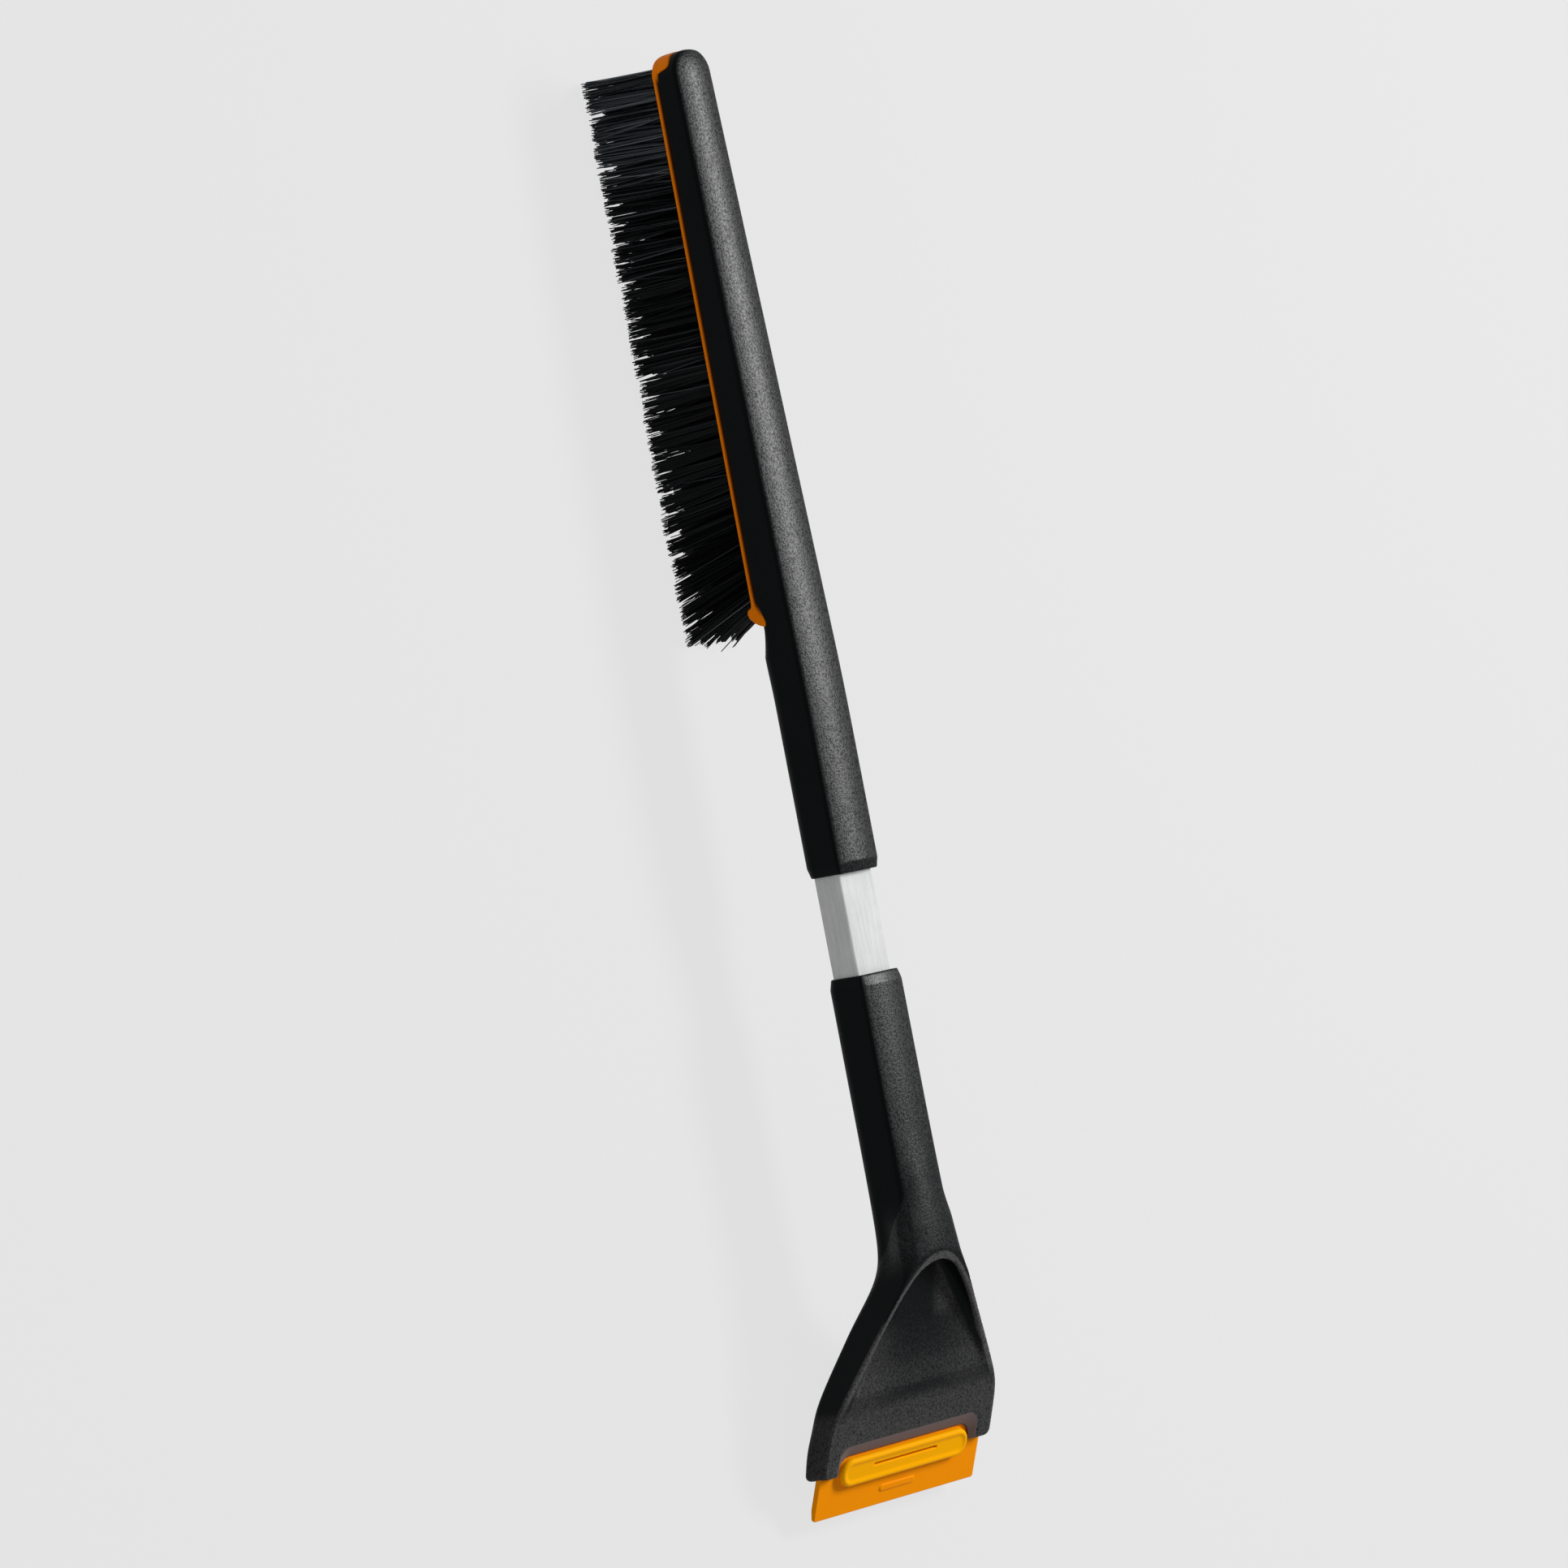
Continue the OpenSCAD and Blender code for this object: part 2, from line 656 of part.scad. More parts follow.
module scraper_handle() {
    neck_at = flare_at - neck_len;
    head_stop = handle_len + 3 * station;
    color(black) placed() difference() {
        skin(concat(
            [ring(handle_at, grip_w / 2 - bevel_in, -bevel_in, bevel_in - grip_h, top_r, under_r - bevel_in,
                  crown),
             handle_ring(bevel_len, 0, -grip_h, under_r)],
            [for (s = [neck_at:station:head_stop]) handle_ring(s, 0, handle_under(s), handle_under_r(s))]));
        translate([-head_end - far, -far / 2, -far])
            cube([far, far, 2 * far]);
        head_frame()
            translate([-far, -far / 2, front_h])
                cube([2 * far, far, far]);
        scoop();
        underside_hollow();
        head_frame()
            translate([0, -blade_w / 2 - blade_fit, -blade_t - blade_fit])
                cube([blade_reach + blade_tang + blade_fit, blade_w + 2 * blade_fit, blade_t + 2 * blade_fit]);
        head_frame()
            catch_recess();
        tube_bar(handle_at - past, tube_to + tube_fit, tube_fit);
        screw_shape(lower_screw_at, screw_fit, past);
    }
}

module scraper_blade() {
    color(orange) placed() head_frame() {
        difference() {
            union() {
                rotate([90, 0, 0])
                    linear_extrude(blade_w, center = true)
                        polygon([[0, 0], [0, -edge_t], [edge_bevel, -blade_t],
                                 [blade_reach + blade_tang, -blade_t], [blade_reach + blade_tang, 0]]);
                translate([0, 0, -blade_t / 2])
                    linear_extrude(blade_t / 2 + catch_h)
                        round_ended(catch_at, catch_w, catch_len);
                translate([0, 0, -blade_t / 2])
                    linear_extrude(blade_t / 2 + pad_h)
                        round_ended(pad_at, pad_w, pad_len);
            }
            translate([0, 0, catch_h - catch_dip])
                linear_extrude(past + catch_dip)
                    round_ended(catch_at, catch_w - 2 * catch_rim, catch_len - 2 * catch_rim);
            linear_extrude(past + catch_h)
                round_ended(catch_at, catch_slot_len, catch_slot_w);
        }
    }
}

brush_body();
bristle_carrier();
bristle_row(1);  // bristle_row_1
bristle_row(2);  // bristle_row_2
bristle_row(3);  // bristle_row_3
bristle_row(4);  // bristle_row_4
tuft_anchors();
shaft_tube();
retaining_screw(upper_screw_at);  // upper_screw
retaining_screw(lower_screw_at);  // lower_screw
scraper_handle();
scraper_blade();
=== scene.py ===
import math

import bpy
import numpy as np
from bpy.props import FloatProperty, FloatVectorProperty, IntProperty, PointerProperty
from bpy.types import Operator, Panel, PropertyGroup
from mathutils import Matrix, Vector


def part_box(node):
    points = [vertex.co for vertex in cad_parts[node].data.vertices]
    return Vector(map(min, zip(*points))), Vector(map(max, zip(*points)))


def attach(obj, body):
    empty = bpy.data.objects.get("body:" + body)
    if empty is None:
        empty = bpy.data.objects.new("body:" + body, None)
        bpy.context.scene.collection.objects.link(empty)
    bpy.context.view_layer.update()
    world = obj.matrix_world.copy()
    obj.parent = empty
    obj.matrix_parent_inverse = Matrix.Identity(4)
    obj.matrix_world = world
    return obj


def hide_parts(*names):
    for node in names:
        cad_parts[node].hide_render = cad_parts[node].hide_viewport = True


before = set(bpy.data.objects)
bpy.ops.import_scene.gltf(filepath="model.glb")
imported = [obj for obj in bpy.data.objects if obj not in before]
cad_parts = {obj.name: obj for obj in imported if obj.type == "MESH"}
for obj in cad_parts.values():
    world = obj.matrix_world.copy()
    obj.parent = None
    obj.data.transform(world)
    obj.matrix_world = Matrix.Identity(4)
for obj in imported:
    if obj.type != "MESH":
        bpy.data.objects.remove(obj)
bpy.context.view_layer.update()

bl_info = {
    "name": "Snow brush with ice scraper",
    "version": (1, 0, 0),
    "blender": (4, 5, 0),
    "location": "View3D > Sidebar > Snow Brush",
    "description": "Builds the looks of a snow brush with an ice scraper on its solids",
    "category": "Add Mesh",
}

# Shapes are worked out in millimetres, by distance d from the round nose toward the scraper, across the
# tool, and in height above the top face of the grips. These place that layout in the frame.
NOSE_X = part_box("brush_body")[1].x * 1000
TUBE_TOP = -4.3
GRIP_TOP_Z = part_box("shaft_tube")[1].z * 1000 - TUBE_TOP

# Radii of edges that look sharp, and of the grips' open ends with the bevel round them
TINY_R = 0.2
FINE_R = 0.3
END_R = 0.5
BEVEL_LEN = 4.5
BEVEL_IN = 1.2

# Brush body: a round nose, a back that slopes up to the grip, and an underside that runs out into the grip's
BODY_LEN = 363.0
BODY_END = 364.1
GRIP_W = 25.8
GRIP_H = 25.8
NOSE_W = 22.2
NOSE_LEN = 11.0
NOSE_BLUNT = 0.94
NOSE_DIP = 2.5
UNDER_R = 8.0
BACK_UNDER_R = 3.5
BACK_DROP = 8.4
BACK_LEN = 284.0
BACK_SOFT = 6.0
BACK_LOWER = 1.1
BACK_SINK = 4.0
RUNOUT_LEN = 13.0
RUNOUT_POWER = 1.25
SAG = 0.6
SAG_SPAN = (287.0, 265.0)

# Carrier with its nose block and lip, and the seam between it and the body
CARRIER_LEN = 252.0
CARRIER_TOP = -21.2
CARRIER_LOW = -24.5
GRIP_FROM = CARRIER_LEN + 1.2
BLOCK_FROM = 0.1
BLOCK_PROUD = 0.3
BLOCK_SPAN = (12.0, 8.0)
EAR_R = 4.4
LIP_SPAN = (248.0, 252.0)
SEAM = 0.3
SEAM_AT_LIP = 0.1
SEAM_SPAN = (238.0, 244.0)

# Rows of bristle tufts; every second row starts nearer the nose
ROWS = 4
ROW_PITCH = 4.2
ROW_SPREAD = 14.1
FIRST_TUFT = (11.8, 8.4)
LAST_TUFT = CARRIER_LEN - 16.0
ROOT_DEPTH = 0.6
LENGTH_AT_NOSE = 39.2
LENGTH_AT_GRIP = 41.6
SEEDS_A_ROW = 100

# Tufts and strands in metres and degrees, as their nodes take them
TUFT_HALF = 0.0019
TUFT_OPENS = 0.0008
TUFT_SHIFT_X = 0.0009
TUFT_SHIFT_Y = 0.0004
STRAND_STRAY = 0.005
STRAND_BEND_X = 0.0006
STRAND_BEND_Y = 0.0009
LEAN_AT_NOSE = -4.5
LEAN_GAIN = 9
LEAN_OF_LAST = 16
LEAN_OF_FIRST = 3.5

# Tube between the grips, and the screws that hold it from below
HANDLE_AT = 408.0
TUBE_W = 21.0
TUBE_H = 15.7
TUBE_R = 1.5
TUBE_WALL = 1.5
TUBE_MID = -13.15
TUBE_FIT = 0.15
TUBE_FROM = 265.0
TUBE_TO = HANDLE_AT + 82.0
SCREW_AT = 24.0
SCREW_HOLE_R = 3.35
SCREW_HOLE_TOP = -23.6

# Scraper handle, by distance s from its open end: grip, neck, and a head that flares out and tilts down
HANDLE_START = 0.7
HANDLE_LEN = 212.0
GRIP_LOWER = 0.6
NECK_MID = 2.4
NECK_EDGE = 0.0
NECK_AT = 95.0
NECK_LEN = 19.0
NECK_RISE = (66.0, 124.0)
NECK_BULGE = 3.0
BULGE_IN = (97.0, 113.0)
BULGE_OUT = (134.0, 118.0)
BULGE_Z = (-17.0, -3.0)
FLARE_AT = 124.3
FLARE_TAN = math.tan(math.radians(32))
FLARE_SOFT = 4.4
HEAD_W = 106.0
HEAD_ANGLE = math.radians(26.5)
CORNER_SOFT = 2.0
UNDER_AT = 133.0
UNDER_TAN = 0.41
LEVEL_AT = 172.0
LEVEL_TAN = 0.33
UNDER_SOFT = 3.0
HEAD_UNDER_R = 3.0
HEAD_UNDER_RUN = 30.0
CHEEK_R = 2.6
CHEEK_AT = 190.0
CHEEK_LEN = 7.5

# Scoop with its arched rim, and the ribbed hollow under it
ARCH_AT = 125.0
ARCH_Z = 3.2
ARCH_R = 5.0
ARCH_ROUND = 26.0
RIM_W = 2.3
APEX_RIM_W = 3.6
APEX_SPAN = (123.0, 130.0)
SCOOP_R = 5.0
CREASE_AT = 181.0
FLOOR_ANGLE = math.radians(15.7)
HEAD_WALL = 3.0
HOLLOW_FROM = ARCH_AT + 2.6
RIB_T = 2.0
RIB_STEP = HEAD_W / 5

# Blade, by distance back from its scraping edge: plate, raised catch with a dish and a slit, and a small pad
BLADE_W = 101.5
BLADE_T = 3.0
BLADE_REACH = 20.0
BLADE_TANG = 18.0
BLADE_LEN = BLADE_REACH + BLADE_TANG
BLADE_LOW = 0.4 - BLADE_T
EDGE_T = 1.5
EDGE_BEVEL = 5.0
CATCH_AT = 21.1
CATCH_W = 80.0
CATCH_LEN = 13.1
CATCH_H = 3.4
DISH_IN = 2.6
DISH_DEEP = 0.45
DISH_R = 1.2
SLIT_AT = CATCH_AT + 1.4
SLIT_LEN = 40.0
SLIT_W = 1.3
SLIT_FLOOR = 0.6
PAD_AT = 7.9
PAD_LEN = 3.0
PAD_W = 22.0
PAD_H = 0.5
PAD_DEPTH = 1

# Slot of the blade and recess of its catch; the recess has its first length and half width on the slot's roof
# and its second ones on the head's top
FRONT_H = 5.2
TOP_H = 4.05
BLADE_FIT = 0.3
RECESS_STEP = 1.1
RECESS_LEN = (29.0, 36.0)
RECESS_HALF = (41.2, 44.0)
RECESS_OVER = 1.4
RECESS_SLANT = 0.8

EDGE_AT = HANDLE_AT + HANDLE_LEN + BLADE_REACH * math.cos(HEAD_ANGLE)
EDGE_DROP = ((EDGE_AT - HANDLE_AT - ARCH_AT) * math.tan(HEAD_ANGLE) - ARCH_Z
             + FRONT_H / math.cos(HEAD_ANGLE))
ARCH_APEX = (EDGE_AT - HANDLE_AT - ARCH_AT - 1.1) / math.cos(HEAD_ANGLE)


# Sizes and colours that a user may change

def colour_of(name, description, default):
    return FloatVectorProperty(name=name, description=description, default=default, subtype="COLOR", size=3,
                               min=0, max=1)


def length_of(name, description, default):
    return FloatProperty(name=name, description=description, default=default, unit="LENGTH", precision=5)


def share_of(name, description, default, most=1):
    return FloatProperty(name=name, description=description, default=default, subtype="FACTOR", min=0, max=most)


def power_of(name, description, default):
    return FloatProperty(name=name, description=description, default=default, unit="POWER", min=0)


class BrushBodySettings(PropertyGroup):
    """Edges and surface of the black moulded body and grips."""

    crown: length_of("Crown", "Rise of the top face from its edges to its middle", 0.0018)
    edge_radius: length_of("Edge radius", "Radius along the top edges", 0.0018)
    colour: colour_of("Plastic", "Colour of the black plastic", (0.0062, 0.0068, 0.0072))
    # The plain faces' darker colour is painted shade on the sides; the paler textured copy is partly painted
    # sheen
    shaded_plain_colour: colour_of("Plain faces", "Colour of the faces without texture", (0.0022, 0.003, 0.0034))
    # Colour of painted light: highlights on the scoop's rim and the head's edges, and the paler floor and front
    # plane
    painted_light_colour: colour_of("Painted light", "Colour of the smooth rim round the scoop", (0.08, 0.078, 0.078))
    # Painted bounce light from the orange catch, on the recess slope
    recess_bounce_colour: colour_of("Recess", "Colour of the slope beside the orange catch", (0.15, 0.11, 0.105))
    roughness: share_of("Roughness", "Roughness of the textured plastic", 0.35)
    grain: length_of("Grain", "Size of the moulded texture's grain", 0.001)


class CarrierSettings(PropertyGroup):
    """The orange bar that carries the bristles."""

    edge_radius: length_of("Edge radius", "Radius along the bar's edges", 0.0006)
    colour: colour_of("Plastic", "Colour of the orange plastic", (0.84, 0.2, 0.0))


class BristleSettings(PropertyGroup):
    """The black bristles in their rows of tufts."""

    tufts: IntProperty(name="Tufts", description="Tufts in each row", default=29, min=26, max=40)
    strands: IntProperty(name="Strands", description="Bristles in each tuft", default=64, min=12, max=80)
    thickness: length_of("Thickness", "Thickness of one bristle at its root", 0.00066)
    tuft_radius: length_of("Tuft radius", "Radius of a tuft at its root", 0.0026)
    fan: length_of("Fan", "Radius that a tuft opens to at its tips", 0.0039)
    ragged: share_of("Ragged", "How much shorter some bristles are, as a share", 0.06, 0.4)
    seed: IntProperty(name="Seed", description="Seed of the bristles' scatter", default=7)
    colour: colour_of("Bristle", "Colour of the bristles", (0.0022, 0.0025, 0.0028))


class TubeSettings(PropertyGroup):
    """The bare aluminium tube and the screws."""

    colour: colour_of("Aluminium", "Colour of the tube", (0.445, 0.449, 0.448))
    roughness: share_of("Roughness", "Roughness of the drawn metal", 0.77)
    screw_colour: colour_of("Screws", "Colour of the screws", (0.35, 0.35, 0.36))


class ScraperSettings(PropertyGroup):
    """The scraper's head and its blade."""

    step: length_of("Step", "Step of the grid that the head is shaped on", 0.0007)
    rim_radius: length_of("Rim radius", "Radius along the scoop's rim", 0.0006)
    blade_colour: colour_of("Blade", "Colour of the blade", (0.87, 0.27, 0.0))
    # The catch's paler colour is painted light; the catch is moulded with the blade
    catch_light_colour: colour_of("Catch", "Colour of the raised catch", (0.9, 0.39, 0.0))


class StageSettings(PropertyGroup):
    """Floor, lamps and background."""

    key_power: power_of("Key light", "Power of the large soft lamp", 44.0)
    fill_power: power_of("Fill light", "Power of the weak front lamp", 5.0)
    background: colour_of("Background", "Colour of the floor and background", (0.791, 0.791, 0.791))


# Small tools for shapes

def soft_ramp(value, softness):
    """A value that turns smoothly from 0 into a slope of 1."""
    return (value + np.sqrt(value * value + 4 * softness * softness)) / 2


def ease(value):
    """A smooth step from 0 to 1."""
    value = np.clip(value, 0, 1)
    return value * value * (3 - 2 * value)


def rise(value, start, end):
    """0 before start, 1 past end and smooth between them; it falls along the axis where end comes first."""
    return ease((value - start) / (end - start))


def along_table(value, table):
    """What a table of (place, number) pairs gives at a value."""
    return np.interp(value, *zip(*table))


def mix(a, b, share):
    return a + (b - a) * share


def round_and(a, b, r):
    """What lies inside both a and b, with the edge between them rounded by r."""
    p, q = a + r, b + r
    return np.minimum(np.maximum(p, q), 0) + np.hypot(np.maximum(p, 0), np.maximum(q, 0)) - r


def cut(a, b, r):
    """What is left of a where b is taken away, with the edge rounded by r."""
    return round_and(a, -b, r)


def join(a, b, r):
    """What lies inside a or b, with the corner between them filled by r."""
    return -cut(-a, b, r)


def rounded_rect(a, b, half_a, half_b, r):
    """Distance outside a rectangle with round corners."""
    p, q = np.abs(a) - half_a + r, np.abs(b) - half_b + r
    return np.hypot(np.maximum(p, 0), np.maximum(q, 0)) + np.minimum(np.maximum(p, q), 0) - r


def smooth_through(points, steps=6):
    """Points along a smooth curve through the given ones."""
    p = np.array([points[0], *points, points[-1]], float)
    found = []
    for i in range(1, len(p) - 2):
        for t in np.arange(steps) / steps:
            a, b, c, e = p[i - 1], p[i], p[i + 1], p[i + 2]
            found.append(0.5 * (2 * b + (c - a) * t + (2 * a - 5 * b + 4 * c - e) * t ** 2
                                + (3 * b - a - 3 * c + e) * t ** 3))
    return [tuple(q) for q in found] + [tuple(p[-1])]


def outline_distance(points, a, b):
    """Distance outside a closed outline, negative inside it."""
    a, b = np.broadcast_arrays(a, b)
    nearest = np.full(a.shape, 1e9)
    inside = np.zeros(a.shape, bool)
    for (a0, b0), (a1, b1) in zip(points, points[1:] + points[:1]):
        da, db = a1 - a0, b1 - b0
        t = np.clip(((a - a0) * da + (b - b0) * db) / max(da * da + db * db, 1e-12), 0, 1)
        nearest = np.minimum(nearest, (a - a0 - t * da) ** 2 + (b - b0 - t * db) ** 2)
        if db:
            inside ^= ((b0 > b) != (b1 > b)) & (a < a0 + (b - b0) * da / db)
    return np.where(inside, -1, 1) * np.sqrt(nearest)


def graded(*stretches):
    """Places along an axis, from stretches of (start, end, step)."""
    places = [np.linspace(start, end, max(2, int(round((end - start) / step)) + 1))
              for start, end, step in stretches]
    return np.unique(np.concatenate(places))


def section(half, low, high, step, step_up=None):
    """Places of a grid across the tool and in height."""
    return np.arange(-half, half + 0.01, step), np.arange(low, high, step_up or step)


def surface(field, xs, ys, zs, slab=12, nudge=0.03, rounds=3):
    """Vertices and four-sided faces of the surface where field(x, y, z) is zero.

    The grid is worked out in slabs; its vertices are then drawn onto the surface in a few rounds.
    """
    values = np.concatenate([field(xs[i:i + slab, None, None], ys[None, :, None], zs[None, None, :])
                             * np.ones((len(xs[i:i + slab]), len(ys), len(zs)))
                             for i in range(0, len(xs), slab)])
    inside = values < 0
    shape = tuple(n - 1 for n in values.shape)
    corners = [(i, j, k) for i in (0, 1) for j in (0, 1) for k in (0, 1)]
    count = sum(inside[i:i + shape[0], j:j + shape[1], k:k + shape[2]].astype(np.int8)
                for i, j, k in corners)
    cell = np.argwhere((count > 0) & (count < 8))
    index = np.full(shape, -1, np.int64)
    index[tuple(cell.T)] = np.arange(len(cell))
    axes = (xs, ys, zs)
    total, hits = np.zeros((len(cell), 3)), np.zeros(len(cell))
    for a in corners:
        for axis in range(3):
            if a[axis]:
                continue
            b = tuple(1 if n == axis else a[n] for n in range(3))
            va, vb = values[tuple((cell + a).T)], values[tuple((cell + b).T)]
            crossed = (va < 0) != (vb < 0)
            t = np.where(crossed, va / np.where(crossed, va - vb, 1), 0)
            for n in range(3):
                pa, pb = axes[n][cell[:, n] + a[n]], axes[n][cell[:, n] + b[n]]
                total[:, n] += np.where(crossed, pa + t * (pb - pa), 0)
            hits += crossed
    points = total / hits[:, None]
    reach = 0.4 * min(np.diff(ys).min(), np.diff(zs).min())
    for _ in range(rounds):
        here = field(*points.T)
        slope = np.stack([(field(*(points + nudge * unit).T) - field(*(points - nudge * unit).T))
                          / (2 * nudge) for unit in np.eye(3)], 1)
        step = here / np.maximum((slope ** 2).sum(1), 0.2)
        points -= np.clip(step, -reach, reach)[:, None] * slope
    faces = []
    for axis in range(3):
        near, past = [slice(None)] * 3, [slice(None)] * 3
        near[axis], past[axis] = slice(0, -1), slice(1, None)
        change = inside[tuple(near)].astype(np.int8) - inside[tuple(past)].astype(np.int8)
        at = np.argwhere(change != 0)
        p, q = (axis + 1) % 3, (axis + 2) % 3
        keep = ((at[:, p] > 0) & (at[:, p] < shape[p]) & (at[:, q] > 0) & (at[:, q] < shape[q]))
        at = at[keep]
        ring = []
        for back_p, back_q in ((1, 1), (0, 1), (0, 0), (1, 0)):
            place = at.copy()
            place[:, p] -= back_p
            place[:, q] -= back_q
            ring.append(index[tuple(place.T)])
        ring = np.stack(ring, 1)
        turned = change[tuple(at.T)] < 0
        ring[turned] = ring[turned][:, ::-1]
        faces.append(ring)
    return points, np.concatenate(faces)


def to_frame(points):
    """Layout points, with x = -d, in the frame and in metres."""
    return (points + np.array([NOSE_X, 0, GRIP_TOP_Z])) / 1000


def add_piece(name, points, faces, material, slot_name, body, *nodes):
    """A mesh object that rides on a body and stands for solids."""
    mesh = bpy.data.meshes.new(name)
    mesh.from_pydata(points.tolist(), [], faces.tolist())
    mesh.validate()
    mesh.polygons.foreach_set("use_smooth", np.ones(len(mesh.polygons), bool))
    mesh.materials.append(material)
    mesh.update()
    piece = bpy.data.objects.new(name, mesh)
    bpy.context.scene.collection.objects.link(piece)
    return dress(piece, slot_name, body, *nodes)


def dress(piece, slot_name, body, *nodes):
    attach(piece, body)
    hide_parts(*nodes)
    return piece


def note(piece, name, values):
    """Keeps a number for each vertex, for the material to read."""
    attribute = piece.data.attributes.new(name, "FLOAT", "POINT")
    attribute.data.foreach_set("value", np.asarray(values, np.float32))


def facing_up(piece):
    """1 on faces that look up, 0 on the sides, with a short change along the edge between them."""
    normals = np.zeros(len(piece.data.vertices) * 3, np.float32)
    piece.data.vertices.foreach_get("normal", normals)
    return rise(normals[2::3], 0.72, 0.82)


# Shader and geometry trees

def maths(operation, turned=False):
    """A method that puts a Wire and another value into a Math node, the other value first if turned."""
    return lambda self, other: self.math(operation, *((other, self) if turned else (self, other)))


class Wire:
    """A socket whose arithmetic adds Math nodes to its tree."""

    __add__, __radd__ = maths("ADD"), maths("ADD", turned=True)
    __sub__, __rsub__ = maths("SUBTRACT"), maths("SUBTRACT", turned=True)
    __mul__, __rmul__ = maths("MULTIPLY"), maths("MULTIPLY", turned=True)
    __truediv__, __rtruediv__ = maths("DIVIDE"), maths("DIVIDE", turned=True)
    __pow__, __rpow__ = maths("POWER"), maths("POWER", turned=True)

    def __init__(self, graph, socket):
        self.graph = graph
        self.socket = socket

    def math(self, operation, *values):
        return self.graph.add("ShaderNodeMath", dict(enumerate(values)), operation=operation)

    def floor(self):
        return self.math("FLOOR", self)

    def tangent(self):
        return self.math("TANGENT", self)

    def clamped(self):
        return self.graph.add("ShaderNodeClamp", {"Value": self})


class Graph:
    """Adds nodes to one tree."""

    def __init__(self, tree):
        self.tree = tree

    def add(self, kind, sockets=None, out=0, **settings):
        """A new node with the given sockets and settings; its output, or the node itself where it has none."""
        node = self.tree.nodes.new(kind)
        for name, value in settings.items():
            setattr(node, name, value)
        for key, value in (sockets or {}).items():
            if isinstance(value, Wire):
                self.tree.links.new(value.socket, node.inputs[key])
            else:
                node.inputs[key].default_value = value
        return Wire(self, node.outputs[out]) if node.outputs else node

    def tint(self, share, first, second):
        """A colour between two."""
        return self.add("ShaderNodeMix", {0: share, 6: first, 7: second}, out=2, data_type="RGBA")

    def shades(self, share, colour, darkest, palest):
        """A colour between two gains of one."""
        return self.tint(share, rgba(colour, darkest), rgba(colour, palest))

    def place(self):
        """Where a point lies on its object."""
        return self.add("ShaderNodeTexCoord", out="Object")

    def noted(self, name):
        """A number that the mesh keeps for each vertex."""
        return self.add("ShaderNodeAttribute", out="Fac", attribute_name=name)

    def noise(self, place, scale, detail=2.0, roughness=0.5):
        return self.add("ShaderNodeTexNoise", {"Vector": place, "Scale": scale, "Detail": detail,
                                               "Roughness": roughness}, out="Fac")

    def bump(self, height, strength, distance):
        return self.add("ShaderNodeBump", {"Strength": strength, "Distance": distance, "Height": height})

    def principled(self, **sockets):
        """A Principled shader; socket names are written with _ for their spaces."""
        return self.add("ShaderNodeBsdfPrincipled", {n.replace("_", " "): v for n, v in sockets.items()})

    def show(self, shader):
        self.add("ShaderNodeOutputMaterial", {"Surface": shader})


def rgba(colour, gain=1.0):
    return tuple(min(1.0, c * gain) for c in colour) + (1.0,)


def new_material(name):
    material = bpy.data.materials.new(name)
    material.use_nodes = True
    material.node_tree.nodes.clear()
    return material, Graph(material.node_tree)


def textured_plastic(name, settings):
    """Black plastic in two copies: where the mesh's share is high, a paler, shinier copy with a fine pale
    grain, partly the moulded texture and partly painted sheen; elsewhere a plain, darker copy, painted shade.
    Places that the mesh marks get painted light: paler tints, and the recess slope's painted bounce light.
    """
    material, graph = new_material(name)
    place = graph.place()
    grain = graph.noise(place, scale=1 / settings.grain, roughness=0.6)
    fine = graph.noise(place, scale=2.3 / settings.grain, detail=1.0)
    cloud = graph.noise(place, scale=38.0, detail=3.0)
    speck = ((grain - 0.5) * 2.6 + (fine - 0.5) * 1.4 + 0.5).clamped()
    rub = ((cloud - 0.5) * 1.6 + 0.5).clamped()
    # Painted light, read from the mesh: painted highlights on the scoop's rim and the head's edges, painted
    # light on the scoop's floor and the plane in front of it, and above 0.5 the recess slope's painted bounce
    # light
    painted_light_share = graph.noted("rim")
    painted_light_tint = (painted_light_share * 2 * (0.3 + speck * 1.4)).clamped()
    rim = rgba(settings.painted_light_colour)
    # The paler copy: the moulded grain, with painted sheen on upward faces
    pale = graph.shades(speck * 0.85 + rub * 0.15, settings.colour, darkest=0.25, palest=1.9)
    texture_and_sheen = graph.principled(
        Base_Color=graph.tint(painted_light_tint, pale, rim), Roughness=settings.roughness + (rub - 0.5) * 0.04,
        Normal=graph.bump(speck, strength=0.3, distance=0.00012), Specular_IOR_Level=0.24)
    # The plain copy is darker: painted shade on the sides
    dark = graph.shades(speck * 0.5 + rub * 0.5, settings.shaded_plain_colour, darkest=0.7, palest=1.4)
    # Painted bounce light from the orange catch, in the recess colour, where the mesh's number passes 0.5
    recess = (painted_light_share * 2 - 1).clamped()
    plain = graph.principled(
        Base_Color=graph.tint(recess, graph.tint(painted_light_tint, dark, rim), rgba(settings.recess_bounce_colour)),
        Roughness=0.45 + (speck - 0.5) * 0.2, Normal=graph.bump(speck, strength=0.2, distance=0.0001),
        Specular_IOR_Level=0.035)
    # Share of the paler copy: the moulded texture and painted sheen, its low values painted shade
    share = (graph.noted("texture_and_sheen") * (0.12 + speck * 1.16)).clamped()
    graph.show(graph.add("ShaderNodeMixShader", {0: share, 1: plain, 2: texture_and_sheen}))
    return material


